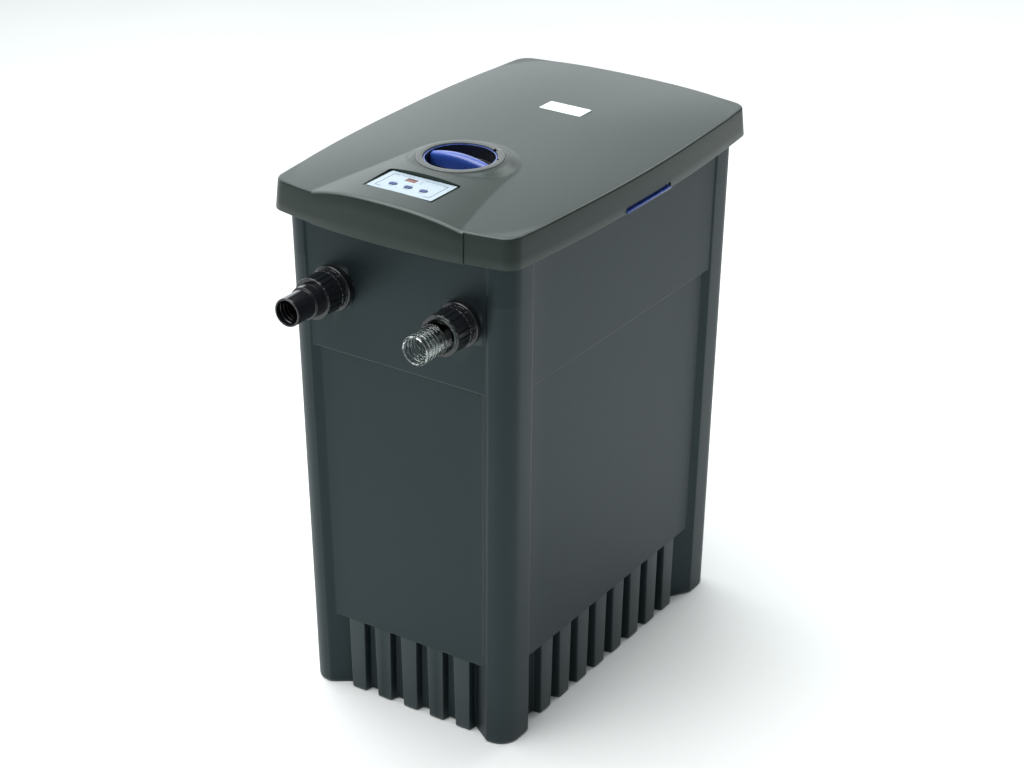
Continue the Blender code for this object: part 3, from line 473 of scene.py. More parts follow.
def noise(tree, scale, detail=2.0, roughness=0.5, stretch=(1, 1, 1)):
    """A noise texture in object coordinates; scale is in cells a metre."""
    place = tree.nodes.new("ShaderNodeTexCoord")
    mapping = tree.nodes.new("ShaderNodeMapping")
    mapping.inputs["Scale"].default_value = stretch
    texture = tree.nodes.new("ShaderNodeTexNoise")
    texture.inputs["Scale"].default_value = scale
    texture.inputs["Detail"].default_value = detail
    texture.inputs["Roughness"].default_value = roughness
    tree.links.new(place.outputs["Object"], mapping.inputs["Vector"])
    tree.links.new(mapping.outputs["Vector"], texture.inputs["Vector"])
    return texture.outputs["Fac"]


def ramp(tree, source, first, second, low=0.3, high=0.7):
    made = tree.nodes.new("ShaderNodeValToRGB")
    made.color_ramp.elements[0].position = low
    made.color_ramp.elements[0].color = (*first, 1.0)
    made.color_ramp.elements[1].position = high
    made.color_ramp.elements[1].color = (*second, 1.0)
    tree.links.new(source, made.inputs["Fac"])
    return made.outputs["Color"]


def spread(tree, source, low, high):
    made = tree.nodes.new("ShaderNodeMapRange")
    made.inputs["From Min"].default_value = 0.3
    made.inputs["From Max"].default_value = 0.7
    made.inputs["To Min"].default_value = low
    made.inputs["To Max"].default_value = high
    tree.links.new(source, made.inputs["Value"])
    return made.outputs["Result"]


def bump(tree, shader, source, strength, distance):
    made = tree.nodes.new("ShaderNodeBump")
    made.inputs["Strength"].default_value = strength
    made.inputs["Distance"].default_value = distance
    tree.links.new(source, made.inputs["Height"])
    tree.links.new(made.outputs["Normal"], shader.inputs["Normal"])


def grained(name, colour, roughness, grain, depth, variation=0.08, edge_highlight=0.0, tint=(1, 1, 1), gleam=0.5):
    """Moulded plastic with a fine grain, a faint change of tone and a painted highlight that pales its convex
    edges.
    """
    made, tree, shader = shader_of(name, roughness)
    shader.inputs["Specular IOR Level"].default_value = gleam
    shader.inputs["Specular Tint"].default_value = (*tint, 1.0)
    dark = [channel * (1 - variation) for channel in colour]
    light = [channel * (1 + variation) for channel in colour]
    tone = ramp(tree, noise(tree, 7, 3), dark, light)
    if edge_highlight:
        # painted highlight: convex edges, found by pointiness, are mixed towards a paler grey
        geometry = tree.nodes.new("ShaderNodeNewGeometry")
        edges = tree.nodes.new("ShaderNodeMapRange")
        edges.inputs["From Min"].default_value = 0.505
        edges.inputs["From Max"].default_value = 0.60
        edges.inputs["To Max"].default_value = edge_highlight
        tree.links.new(geometry.outputs["Pointiness"], edges.inputs["Value"])
        mix = tree.nodes.new("ShaderNodeMix")
        mix.data_type = "RGBA"
        mix.inputs["B"].default_value = (0.30, 0.33, 0.33, 1.0)
        tree.links.new(edges.outputs["Result"], mix.inputs["Factor"])
        tree.links.new(tone, mix.inputs["A"])
        tone = mix.outputs["Result"]
    tree.links.new(tone, shader.inputs["Base Color"])
    fine = noise(tree, grain, 2, 0.6)
    tree.links.new(spread(tree, fine, roughness - 0.05, roughness + 0.06), shader.inputs["Roughness"])
    bump(tree, shader, fine, 0.5, depth)
    return made


def glossy(name, colour, roughness, coat=0.0):
    """Smooth moulded plastic with slight waviness and handling marks in its gloss."""
    made, tree, shader = shader_of(name, roughness)
    dark = [channel * 0.9 for channel in colour]
    light = [channel * 1.1 for channel in colour]
    tree.links.new(ramp(tree, noise(tree, 30, 2), dark, light), shader.inputs["Base Color"])
    marks = noise(tree, 160, 4, 0.65, (1, 1, 0.4))
    tree.links.new(spread(tree, marks, roughness * 0.8, roughness * 1.35), shader.inputs["Roughness"])
    bump(tree, shader, noise(tree, 90, 1), 0.15, 0.0002)
    shader.inputs["Coat Weight"].default_value = coat
    shader.inputs["Coat Roughness"].default_value = 0.08
    return made


def clear(name, colour, index):
    """Clear plastic or glass with a faint waviness and patches that are a little hazier."""
    made, tree, shader = shader_of(name, 0.05)
    haze = noise(tree, 90, 2)
    dark = [channel * 0.94 for channel in colour]
    tree.links.new(ramp(tree, haze, dark, colour), shader.inputs["Base Color"])
    tree.links.new(spread(tree, haze, 0.02, 0.10), shader.inputs["Roughness"])
    bump(tree, shader, noise(tree, 220, 2), 0.12, 0.0002)
    shader.inputs["IOR"].default_value = index
    shader.inputs["Transmission Weight"].default_value = 1.0
    return made


def metal(name, colour, roughness):
    made, tree, shader = shader_of(name, roughness, 1.0)
    lines = noise(tree, 900, 2, 0.5, (1, 1, 0.05))
    dark = [channel * 0.85 for channel in colour]
    tree.links.new(ramp(tree, lines, dark, colour), shader.inputs["Base Color"])
    tree.links.new(spread(tree, lines, roughness * 0.8, roughness * 1.4), shader.inputs["Roughness"])
    return made


def rubbery(name, colour):
    made, tree, shader = shader_of(name, 0.8)
    dust = noise(tree, 250, 4, 0.7)
    light = [channel * 2.2 for channel in colour]
    tree.links.new(ramp(tree, dust, colour, light, 0.45, 0.8), shader.inputs["Base Color"])
    bump(tree, shader, dust, 0.3, 0.0002)
    return made


def foam(name, colour, pores):
    """Open-cell foam: bright cell walls, with painted shade darkening the pores between them."""
    made, tree, shader = shader_of(name, 0.95)
    place = tree.nodes.new("ShaderNodeTexCoord")
    cells = tree.nodes.new("ShaderNodeTexVoronoi")
    cells.inputs["Scale"].default_value = pores
    cells.inputs["Randomness"].default_value = 0.9
    tree.links.new(place.outputs["Object"], cells.inputs["Vector"])
    # painted shade: the colour darkens towards the pores
    dark = [channel * 0.12 for channel in colour]
    tone = ramp(tree, cells.outputs["Distance"], colour, dark, 0.25, 0.62)
    tree.links.new(tone, shader.inputs["Base Color"])
    inverse = tree.nodes.new("ShaderNodeMath")
    inverse.operation = "MULTIPLY"
    inverse.inputs[1].default_value = -1.0
    tree.links.new(cells.outputs["Distance"], inverse.inputs[0])
    bump(tree, shader, inverse.outputs["Value"], 0.9, 0.002)
    shader.inputs["Sheen Weight"].default_value = 0.2
    return made


def glowing(name, colour, glow, strength):
    made, tree, shader = shader_of(name, 0.15)
    light = [channel * 1.2 for channel in colour]
    tree.links.new(ramp(tree, noise(tree, 300, 1), colour, light), shader.inputs["Base Color"])
    shader.inputs["Emission Color"].default_value = (*glow, 1.0)
    shader.inputs["Emission Strength"].default_value = strength
    return made


FINISH = {
    # tub_abs and collar_plastic paint a highlight on their convex edges; lid_abs paints none
    "tub_abs": grained(
        "tub_abs", (0.006, 0.009, 0.010), 0.46, 1100, 0.00016, 0.08, 0.5, (0.68, 0.94, 1.0), 0.42
    ),
    "lid_abs": grained(
        "lid_abs", (0.010, 0.015, 0.013), 0.36, 1500, 0.00010, 0.05, 0.0, (0.84, 1.0, 0.96), 0.5
    ),
    "black_gloss": glossy("black_gloss", (0.008, 0.009, 0.011), 0.20, 0.3),
    "black_plastic": grained("black_plastic", (0.016, 0.018, 0.019), 0.42, 900, 0.0001),
    "clear_plastic": clear("clear_plastic", (0.90, 0.96, 0.95), 1.49),
    "blue_plastic": glossy("blue_plastic", (0.020, 0.055, 0.270), 0.28, 0.2),
    "white_plastic": grained("white_plastic", (0.30, 0.37, 0.42), 0.42, 1500, 0.00003, 0.02),
    "plate_white": grained("plate_white", (0.68, 0.78, 0.78), 0.42, 1500, 0.00003, 0.02),
    "button_navy": glossy("button_navy", (0.006, 0.018, 0.110), 0.40),
    "collar_plastic": grained("collar_plastic", (0.012, 0.016, 0.015), 0.34, 1500, 0.00008, 0.05, 0.45),
    "display_red": glowing("display_red", (0.10, 0.03, 0.02), (0.9, 0.1, 0.05), 0.05),
    "circuit_green": glossy("circuit_green", (0.02, 0.16, 0.06), 0.35, 0.4),
    "rubber": rubbery("rubber", (0.012, 0.012, 0.012)),
    "quartz": clear("quartz", (0.95, 0.98, 1.0), 1.46),
    "lamp": glowing("lamp_glass", (0.75, 0.78, 0.85), (0.55, 0.6, 1.0), 0.3),
    "steel": metal("steel", (0.62, 0.62, 0.60), 0.28),
    "hose_grey": glossy("hose_grey", (0.055, 0.060, 0.064), 0.35),
    "label_ink": glossy("label_ink", (0.02, 0.03, 0.05), 0.35),
    "plate_teal": glossy("plate_teal", (0.20, 0.42, 0.42), 0.35),
    "foam_blue": foam("foam_blue", (0.06, 0.14, 0.36), 260),
    "foam_green": foam("foam_green", (0.08, 0.22, 0.10), 420),
    "foam_red": foam("foam_red", (0.34, 0.07, 0.05), 650),
}


# ---------------------------------------------------------------- tub


def tub_half(z):
    share = z / SKIRT_Z
    return [base + (top - base) * share for base, top in zip(BASE_HALF, TOP_HALF)]


def side_points(half, column, depth, floor, ribs, z):
    """(position along the side, depth) from one column to the next."""
    foot = -half + column + floor * FLANK_SLOPE
    points = [(-half + column, 0.0), (foot, floor)]
    count, pitch, low_face, high_face = ribs
    face = low_face + (high_face - low_face) * min(z / RIB_TOP_Z, 1)
    for index in range(count):
        centre = (index - (count - 1) / 2) * pitch
        points.append((centre - face - RIB_DRAFT, floor))
        points.append((centre - face, depth))
        points.append((centre + face, depth))
        points.append((centre + face + RIB_DRAFT, floor))
    points.append((-foot, floor))
    points.append((half - column, 0.0))
    return points


def tub_ring(z, inset, depth, floor, thickness=0.0):
    """The tub's outline at one height, with every edge of its columns and ribs rounded."""
    half_x, half_y = (half - inset - thickness for half in tub_half(z))
    radius = COLUMN_RADIUS - inset - thickness
    short_column, long_column = (reach - inset - 1.3 * thickness for reach in COLUMN)
    short = side_points(half_x, short_column, depth, floor, SHORT_RIBS, z)
    long = side_points(half_y, long_column, depth, floor, LONG_RIBS, z)
    corner_x, corner_y = half_x - radius, half_y - radius
    sides = (
        ([(u, -half_y + d) for u, d in short], (corner_x, -corner_y), -90),
        ([(half_x - d, u) for u, d in long], (corner_x, corner_y), 0),
        ([(-u, half_y - d) for u, d in short], (-corner_x, corner_y), 90),
        ([(-half_x + d, -u) for u, d in long], (-corner_x, -corner_y), 180),
    )
    outline = []
    for index, (side, centre, start) in enumerate(sides):
        before = sides[index - 1]
        from_arc = arc(before[1], radius, before[2] + 90, before[2] + 90, 1)[0]
        to_arc = arc(centre, radius, start, start, 1)[0]
        ends = [from_arc, *side, to_arc]
        outline += filleted(ends, TUB_EDGE, 3, closed=False)[1:-1]
        outline += arc(centre, radius, start, start + 90, 14)
    return [(x, y, z) for x, y in outline]


def tub_rings():
    outside = []
    for step in range(5):
        angle = math.pi / 2 * step / 4
        inset, z = CHAMFER * (1 - math.sin(angle)), CHAMFER * (1 - math.cos(angle))
        outside.append(tub_ring(z, inset, PANEL_DEPTH, GROOVE_DEPTH))
    for z in (0.006, 0.02, 0.05, 0.08, RIB_TOP_Z - 0.0030, RIB_TOP_Z - 0.0016):
        outside.append(tub_ring(z, 0, PANEL_DEPTH, GROOVE_DEPTH))
    for step in range(6):
        share = step / 5
        floor = GROOVE_DEPTH + (PANEL_DEPTH - GROOVE_DEPTH) * ease(share)
        outside.append(tub_ring(RIB_TOP_Z - 0.0012 + 0.0024 * share, 0, PANEL_DEPTH, floor))
    for z in (RIB_TOP_Z + 0.0016, RIB_TOP_Z + 0.0030, 0.2, 0.3, 0.4, BAND_Z - 0.0034, BAND_Z - 0.0020):
        outside.append(tub_ring(z, 0, PANEL_DEPTH, PANEL_DEPTH))
    for step in range(7):
        share = step / 6
        depth = PANEL_DEPTH + (BAND_DEPTH - PANEL_DEPTH) * ease(share)
        outside.append(tub_ring(BAND_Z - 0.0014 + 0.0030 * share, 0, depth, depth))
    for z in (BAND_Z + 0.0022, BAND_Z + 0.0036, 0.57, 0.64, RIM_FLANGE_Z - 0.0005):
        outside.append(tub_ring(z, 0, BAND_DEPTH, BAND_DEPTH))
    outside.append(tub_ring(RIM_FLANGE_Z, -RIM_FLANGE, BAND_DEPTH, BAND_DEPTH))
    outside.append(tub_ring(RIM_Z - 0.0006, -RIM_FLANGE, BAND_DEPTH, BAND_DEPTH))
    outside.append(tub_ring(RIM_Z, -RIM_FLANGE + 0.0006, BAND_DEPTH, BAND_DEPTH))
    inside = [
        tub_ring(RIM_Z, 0.0, BAND_DEPTH, BAND_DEPTH, WALL - 0.0005),
        tub_ring(RIM_Z - 0.0006, 0.0, BAND_DEPTH, BAND_DEPTH, WALL),
        tub_ring(BAND_Z + 0.005, 0.0, BAND_DEPTH, BAND_DEPTH, WALL),
        tub_ring(BAND_Z, 0.0, PANEL_DEPTH, PANEL_DEPTH, WALL),
        tub_ring(RIB_TOP_Z + 0.006, 0.0, PANEL_DEPTH, PANEL_DEPTH, WALL),
        tub_ring(RIB_TOP_Z, 0.0, GROOVE_DEPTH, GROOVE_DEPTH, WALL),
        tub_ring(FLOOR_Z, 0.0, GROOVE_DEPTH, GROOVE_DEPTH, WALL),
    ]
    return outside + inside


def build_tub():
    tub = loft("tub_body", tub_rings(), sharp=50)
    areas = []
    cutters = []
    for place, radius, rotation in (
        ((INLET_X, FRONT_WALL_Y, FITTING_Z), THREAD_RADIUS, FACING_FRONT),
        ((SLUDGE_X, FRONT_WALL_Y, FITTING_Z), THREAD_RADIUS, FACING_FRONT),
        ((0, BACK_WALL_Y, OUTLET_Z), OUTLET_RADIUS, FACING_BACK),
    ):
        areas.append(((place[0], radius + RIM_MARGIN), (place[2], radius + RIM_MARGIN)))
        cutters.append(cylinder_cutter("hole", radius + THREAD_PLAY, -0.03, 0.03, place, rotation))
    scored(tub, areas, (0, 2))
    cut(tub, cutters, sharp=50)
    settle(tub, "root", "tub_abs", "tub")


# ---------------------------------------------------------------- lid


def lid_outline(inset, spacing=0.0032):
    """A rounded rectangle whose sides are shallow arcs, inset from the lid's lower edge."""
    half_x, half_y = (half - inset for half in LID_HALF)
    bow_x, bow_y = LID_BOW
    reach_x, reach_y = half_x - bow_x, half_y - bow_y
    side_x = (reach_y**2 + bow_x**2) / (2 * bow_x)
    side_y = (reach_x**2 + bow_y**2) / (2 * bow_y)
    centre_x = Vector((half_x - side_x, 0))
    centre_y = Vector((0, half_y - side_y))
    corner = circles_meet(centre_x, side_x - LID_CORNER, centre_y, side_y - LID_CORNER)
    turn_x = math.degrees(math.atan2(corner.y - centre_x.y, corner.x - centre_x.x))
    turn_y = math.degrees(math.atan2(corner.y - centre_y.y, corner.x - centre_y.x))
    long_steps = round(LID_HALF[1] / spacing)
    short_steps = round(LID_HALF[0] / spacing)
    quarter = arc(centre_x, side_x, 0, turn_x, long_steps)
    quarter += arc(corner, LID_CORNER, turn_x, turn_y, 12)[1:-1]
    quarter += arc(centre_y, side_y, turn_y, 90, short_steps)
    left = [(-x, y) for x, y in reversed(quarter[:-1])]
    half = quarter + left
    return half + [(x, -y) for x, y in reversed(half[1:-1])]


def circles_meet(first, first_radius, second, second_radius):
    """The crossing of two circles that lies further along +X and +Y."""
    apart = second - first
    distance = apart.length
    along_line = (first_radius**2 - second_radius**2 + distance**2) / (2 * distance)
    across = math.sqrt(first_radius**2 - along_line**2)
    base = first + apart * along_line / distance
    normal = Vector((-apart.y, apart.x)) / distance
    return max((base + normal * across, base - normal * across), key=lambda point: point.x + point.y)


def dome_z(x, y):
    share = ((abs(x) / LID_HALF[0]) ** 4 + (abs(y) / LID_HALF[1]) ** 4) ** 0.25
    return EDGE_Z + DOME * (1 - min(share, 1.0) ** 2.5)


def lid_z(x, y):
    """Height of the lid's top: a shallow dome, the console that widens to the front, and the ring's boss."""
    base = dome_z(x, y)
    height = base
    edge = along(CONSOLE_EDGE, y)
    if y < RING_Y and abs(x) < edge:
        foot = dome_z(edge, y)
        height = foot + (along(CONSOLE_LINE, y) - foot) * (1 - (abs(x) / edge) ** 2.3)
    away = math.hypot(x, y - RING_Y) - RING_RADIUS
    if away < BOSS_REACH:
        rise = ease(1 - max(away, 0) / BOSS_REACH)
        crest = CONSOLE_LINE[-1][1]
        height = max(height, base + (crest - base) * rise)
    return max(height, base)


def with_seams(outline):
    """The outline with two close points in place of any near each seam, so that the step there is sharp."""
    clear_of_seams = []
    for x, y in outline:
        if y > 0 or min(abs(x - seam) for seam in SEAM_X) > SEAM_HALF * 3:
            clear_of_seams.append((x, y))
    points = []
    for (x, y), (next_x, next_y) in zip(clear_of_seams, clear_of_seams[1:] + clear_of_seams[:1]):
        points.append((x, y))
        for seam in SEAM_X:
            if y < 0 and min(x, next_x) < seam < max(x, next_x):
                ahead = math.copysign(SEAM_HALF, next_x - x)
                for across in (seam - ahead, seam + ahead):
                    points.append((across, y + (next_y - y) * (across - x) / (next_x - x)))
    return points


def lid_rings():
    """Rings from the middle of the underside out to the skirt's lower edge and back over the top."""
    edge = with_seams(lid_outline(0.0))
    push = [SEAM_STEP if y < 0 and SEAM_X[0] < x < SEAM_X[1] else 0.0 for x, y in edge]

    def flat_ring(inset, share=1.0):
        scale_x = share * (1 - inset / LID_HALF[0])
        scale_y = share * (1 - inset / LID_HALF[1])
        return [(x * scale_x, y * scale_y) for x, y in edge]

    def skirt_ring(inset, height):
        """A ring of the skirt at a share of its height, whose middle section at the front is proud."""
        flat = flat_ring(inset)
        return [
            (x, y - out, SKIRT_Z + (lid_z(x, y) - EDGE_RADIUS - SKIRT_Z) * height)
            for (x, y), out in zip(flat, push)
        ]

    hollow = LID_INSET + LID_WALL
    rings = []
    for share in (0.02, 0.15, 0.45, 0.72):
        rings.append([(x, y, dome_z(x, y) - LID_WALL) for x, y in flat_ring(hollow, share)])
    rings.append([(x, y, LEDGE_Z) for x, y in flat_ring(hollow, 0.80)])
    rings.append([(x, y, LEDGE_Z) for x, y in flat_ring(hollow)])
    rings.append([(x, y, SKIRT_Z) for x, y in flat_ring(LID_WALL)])
    for inset, height in ((0.0008, 0.0), (0.0002, 0.008), (0.0, 0.025), (0.0009, 0.33), (0.0018, 0.66)):
        rings.append(skirt_ring(inset, height))
    for step in range(7):
        angle = math.pi / 2 * step / 6
        flat = flat_ring(LID_INSET + EDGE_RADIUS * (1 - math.cos(angle)))
        drop = EDGE_RADIUS * (1 - math.sin(angle))
        fade = 1 - ease(step / 6)
        rings.append([(x, y - out * fade, lid_z(x, y) - drop) for (x, y), out in zip(flat, push)])
    for step in range(1, LID_STEPS):
        flat = flat_ring(LID_INSET + EDGE_RADIUS, 1 - step / LID_STEPS)
        rings.append([(x, y, lid_z(x, y)) for x, y in flat])
    return rings


def build_lid():
    lid = loft("lid_cover", lid_rings(), cap=fan, sharp=32)
    half, front, back, floor = RECESS
    x, y = PLATE_CENTRE
    width, depth = PLATE_HALF
    areas = [
        ((0, RING_RADIUS + LID_MARGIN), (RING_Y, RING_RADIUS + LID_MARGIN)),
        ((0, half + LID_MARGIN), ((front + back) / 2, (back - front) / 2 + LID_MARGIN)),
        ((x, width + LID_MARGIN), (y, depth + LID_MARGIN)),
    ]
    scored(lid, areas, (0, 1))
    cutters = [
        cylinder_cutter("bore", COLLAR_RADIUS + GAP, 0.70, 0.76, (0, RING_Y, 0)),
        cylinder_cutter("seat", RING_RADIUS + GAP, RING_SEAT_Z, 0.76, (0, RING_Y, 0), sides=128),
    ]
    cutters.append(extruded("recess", rounded_rectangle(-half, front, half, back, 0.004), floor, 0.76))
    half, front, back = WINDOW
    cutters.append(extruded("window", rounded_rectangle(-half, front, half, back, 0.002), 0.70, 0.745))
    width, depth = (reach + 0.0005 for reach in PLATE_HALF)
    pocket = rounded_rectangle(x - width, y - depth, x + width, y + depth, 0.0015)
    cutters.append(extruded("pocket", pocket, PLATE_FLOOR_Z, 0.75))
    for side in (-1, 1):
        low, high = sorted((0.205 * side, 0.1855 * side))
        notch = box("notch", (low, -LIP_HALF - 0.001, 0.67), (high, LIP_HALF + 0.001, NOTCH_Z), 0.0008)
        cutters.append(notch)
    off_the_seam = (FACING_BACK[0], math.radians(3), 0)
    place = (0, 0, GLAND_Z)
    cutters.append(cylinder_cutter("gland_hole", GLAND_HOLE, 0.27, 0.31, place, off_the_seam, 48))
    cut(lid, cutters, sharp=32)
    add_ears(lid)
    settle(lid, "lid", "lid_abs", "lid")


def pin_bore(side):
    """The cutter for a latch pin's hole."""
    place = (PIN_X * side, 0, PIN_Z)
    return cylinder_cutter("bore", PIN_RADIUS + PIN_PLAY, -0.06, 0.06, place, FACING_BACK, 24)


def add_ears(lid):
    """The two pairs of ears under the lid's edge that carry the latch pins."""
    ears = []
    for side in (-1, 1):
        for end in (-1, 1):
            low_x, high_x = sorted(x * side for x in EAR_X)
            low_y, high_y = sorted(y * end for y in EAR_Y)
            ear = box("ear", (low_x, low_y, EAR_Z[0]), (high_x, high_y, EAR_Z[1]), 0.0005)
            ears.append(cut(ear, [pin_bore(side)]))
    cut(lid, ears, "UNION", sharp=32)


# ---------------------------------------------------------------- latches


def build_latches():
    """Each latch is a lever on its pin with a tooth inside the rim and a lip below the lid's skirt."""
    knuckle = arc((0, 0), 0.0032, -60, 240, 20)
    lever_outline = knuckle + filleted(
        [(-0.0050, -0.0050), (-0.0128, -0.0075), (-0.0128, -0.0105), (-0.0050, -0.0105), (-0.0050, -0.0310)],
        0.0008,
    )
    lever_outline += [(-0.0020, -0.0310), (-0.0020, -0.0050)]
    lip_outline = filleted(
        [
            (-0.0050, -0.0245), (-0.0050, -0.0323), (0.0118, -0.0323), (0.0118, -0.0300),
            (0.0062, -0.0292), (0.0058, -0.0268),
        ],
        0.0005,
    )
    for name, body, side in (("left_latch", "latch_left", -1), ("right_latch", "latch_right", 1)):
        turn = (math.radians(90), 0, 0 if side > 0 else math.radians(180))
        where = (PIN_X * side, 0, PIN_Z)
        lever = extruded("lever", lever_outline, -LATCH_HALF, LATCH_HALF, where, turn)
        lip = extruded("lip", lip_outline, -LIP_HALF, LIP_HALF, where, turn, 0.0008)
        cut(lever, [lip], "UNION")
        cut(lever, [pin_bore(side)])
        lever.name = name + "_lever"
        settle(lever, body, "blue_plastic", name)
        rod = [(0, PIN_HALF), (PIN_RADIUS, PIN_HALF), (PIN_RADIUS, -PIN_HALF), (0, -PIN_HALF)]
        pin = turned(name + "_pin_rod", rod, where, FACING_BACK, 24, 0.0003)
        settle(pin, "lid", "steel", name + "_pin")


# ---------------------------------------------------------------- console


def hexagon_outline(half_x, half_y):
    cut_x = half_y * 0.6
    corners = [
        (-half_x, 0), (-half_x + cut_x, -half_y), (half_x - cut_x, -half_y), (half_x, 0),
        (half_x - cut_x, half_y), (-half_x + cut_x, half_y),
    ]
    return filleted(corners, 0.0008)


def build_buttons():
    for number in (1, 2, 3):
        where = ((number - 2) * BUTTON_PITCH, BUTTON_Y, 0)
        cap = extruded("button_cap_%d" % number, hexagon_outline(*BUTTON_HALF), *BUTTON_Z, where, edge=0.0005)
        settle(cap, "button_%d" % number, "blue_plastic", "button_%d" % number, finish="button_navy")


def build_label():
    half, front, back = LABEL
    outline = rounded_rectangle(-half, front, half, back, 0.0015)
    plate = extruded("label_plate", outline, *LABEL_Z, edge=0.0003)
    low_x, low_y, high_x, high_y = DISPLAY
    window = rounded_rectangle(low_x - GAP, low_y - GAP, high_x + GAP, high_y + GAP, 0.0006)
    cutters = [extruded("window", window, 0.73, 0.74)]
    for index in (-1, 0, 1):
        where = (index * BUTTON_PITCH, BUTTON_Y, 0)
        hole = hexagon_outline(BUTTON_HALF[0] + GAP, BUTTON_HALF[1] + GAP)
        cutters.append(extruded("hole", hole, 0.73, 0.74, where))
    cut(plate, cutters)
    settle(plate, "lid", "white_plastic", "control_label")
    build_label_print()
    screen = rounded_rectangle(low_x, low_y, high_x, high_y, 0.0006)
    display = extruded("display_window", screen, *DISPLAY_Z, edge=0.0003)
    settle(display, "lid", "display_red", "led_display")


def printed(low_x, low_y, high_x, high_y):
    """A line of ink on the label."""
    top = LABEL_Z[1]
    outline = rounded_rectangle(low_x, low_y, high_x, high_y, 0.0001, 2)
    return extruded("print", outline, top - INK_SUNK, top + INK_PROUD)


def build_label_print():
    """A bracket-shaped frame round the buttons and plain marks beside the display; there are no letters."""
    frame_x, line = 0.0400, 0.0009
    low, high = -0.2530, -0.2125
    marks = []
    for side in (-1, 1):
        edge = frame_x * side
        marks.append(printed(edge - line / 2, low, edge + line / 2, high))
        for y in (low, high):
            inner = edge - 0.0085 * side
            marks.append(printed(min(edge, inner), y - line / 2, max(edge, inner), y + line / 2))
    for index in range(3):
        x = index * BUTTON_PITCH - BUTTON_PITCH
        marks.append(printed(x - 0.0030, -0.2466, x + 0.0030, -0.2459))
        marks.append(printed(x - 0.0008, -0.2318, x + 0.0008, -0.2312))
    for row in range(3):
        y = -0.2165 - row * 0.0034
        marks.append(printed(0.0035, y, 0.0062 + 0.0010 * row, y + 0.0005))
    marks.append(printed(-0.0290, -0.2120, -0.0110, -0.2115))
    marks.append(printed(0.0060, -0.2120, 0.0300, -0.2115))
    ink = joined("label_marks", marks)
    settle(ink, "lid", "blue_plastic", finish="label_ink")


def build_plate():
    """A blank plate with three plain wavy lines in place of any mark."""
    x, y = PLATE_CENTRE
    half_x, half_y = PLATE_HALF
    base = PLATE_FLOOR_Z + GAP
    outline = rounded_rectangle(x - half_x, y - half_y, x + half_x, y + half_y, 0.0012)
    top = base + PLATE_THICKNESS
    plate = extruded("blank_plate", outline, base, top, edge=0.0003)
    settle(plate, "lid", "white_plastic", "name_plate", finish="plate_white")
    waves = []
    for row in range(3):
        points = []
        for step in range(25):
            u = step / 24
            swell = 0.0014 * math.sin(u * 4 * math.pi)
            points.append((x - 0.022 + 0.044 * u, y + (row - 1) * 0.0065 + swell))
        lower = [(px, py - 0.0005) for px, py in points]
        outline = lower + [(px, py + 0.0005) for px, py in reversed(points)]
        rings = [[(px, py, z) for px, py in outline] for z in (top - INK_SUNK, top + INK_PROUD)]
        waves.append(loft("wave", rings))
    settle(joined("plate_waves", waves), "lid", "white_plastic", finish="plate_teal")


# ---------------------------------------------------------------- UV insert's top


def build_collar():
    profile = [
        (RING_RADIUS, RING_TOP_Z), (RING_RADIUS, RING_SEAT_Z + GAP),
        (COLLAR_RADIUS, RING_SEAT_Z + GAP), (COLLAR_RADIUS, 0.7050), (WELL_RADIUS, 0.7050),
        (WELL_RADIUS, RING_TOP_Z),
    ]
    collar = turned("collar_ring", profile, (0, RING_Y, 0), sides=160, radius=0.0014)
    cutters = []
    for degrees, reach in ((58, 0.0040), (18, 0.0026)):
        angle = math.radians(degrees)
        mesh = bmesh.new()
        bmesh.ops.create_cube(mesh, size=1.0)
        bmesh.ops.scale(mesh, vec=(0.006, 2 * reach, 0.010), verts=mesh.verts)
        middle = (WELL_RADIUS * math.cos(angle), RING_Y + WELL_RADIUS * math.sin(angle), RING_TOP_Z)
        cutters.append(new_object("notch", mesh, middle, (0, 0, angle)))
    cut(collar, cutters)
    settle(collar, "lid", "black_plastic", "uvc_collar", finish="collar_plastic")


def build_knob():
    cup = [
        (0.0, 0.7235), (0.0440, 0.7235), (0.0443, 0.7398), (0.0458, 0.7398), (0.0458, 0.7185),
        (0.0065, 0.7185), (0.0065, 0.7215), (0.0, 0.7215),
    ]
    knob = turned("knob_cup", cup, (0, RING_Y, 0), sides=128, radius=0.0005)
    settle(knob, "knob", "black_gloss", "uvc_knob")
    profile = ring_profile(0.0441, 0.0457, 0.7399, 0.7405)
    rim = turned("knob_rim", profile, (0, RING_Y, 0), sides=128, radius=0.0002)
    settle(rim, "knob", "blue_plastic")
    half, thick, steps = 0.0432, 0.0078, 40
    rings = []
    for step in range(steps + 1):
        x = -half + 2 * half * step / steps
        crown = 0.7445 - 0.0055 * (x / half) ** 2
        width = thick * (1 - 0.25 * (x / half) ** 2)
        section = [(-width * 0.9, 0.7238), (-width * 0.95, crown - 0.010), (-width, crown - 0.004)]
        for part in range(1, 12):
            u = -1 + part / 6
            section.append((width * u, crown - 0.004 + 0.004 * math.sqrt(1 - u * u)))
        section += [(width, crown - 0.004), (width * 0.95, crown - 0.010), (width * 0.9, 0.7238)]
        rings.append([(x, RING_Y + y + x * GRIP_TURN, z) for y, z in section])
    bar = loft("grip", rings, sharp=50)
    settle(bar, "knob", "blue_plastic", "grip_bar")


# ---------------------------------------------------------------- hose fittings


def fluted(count, depth, low, high):
    """A change of radius that gives a turned piece grip flutes between two heights."""

    def shape(radius, z, angle):
        if not low < z < high or radius < THREAD_RADIUS + 0.001:
            return radius
        wave = abs(math.sin(angle * count / 2))
        return radius - depth * (1 - min(1.0, wave * 1.9))

    return shape


def knurled(radius, z, angle):
    """The union nut: grip flutes along its body, and a row of small lugs round each end."""
    if radius < 0.0255:
        return radius
    if 0.0196 < z < 0.0440:
        return fluted(20, 0.0013, 0.0, 1.0)(radius, z, angle)
    return radius + 0.0006 * max(0.0, math.sin(angle * 20)) - 0.0003


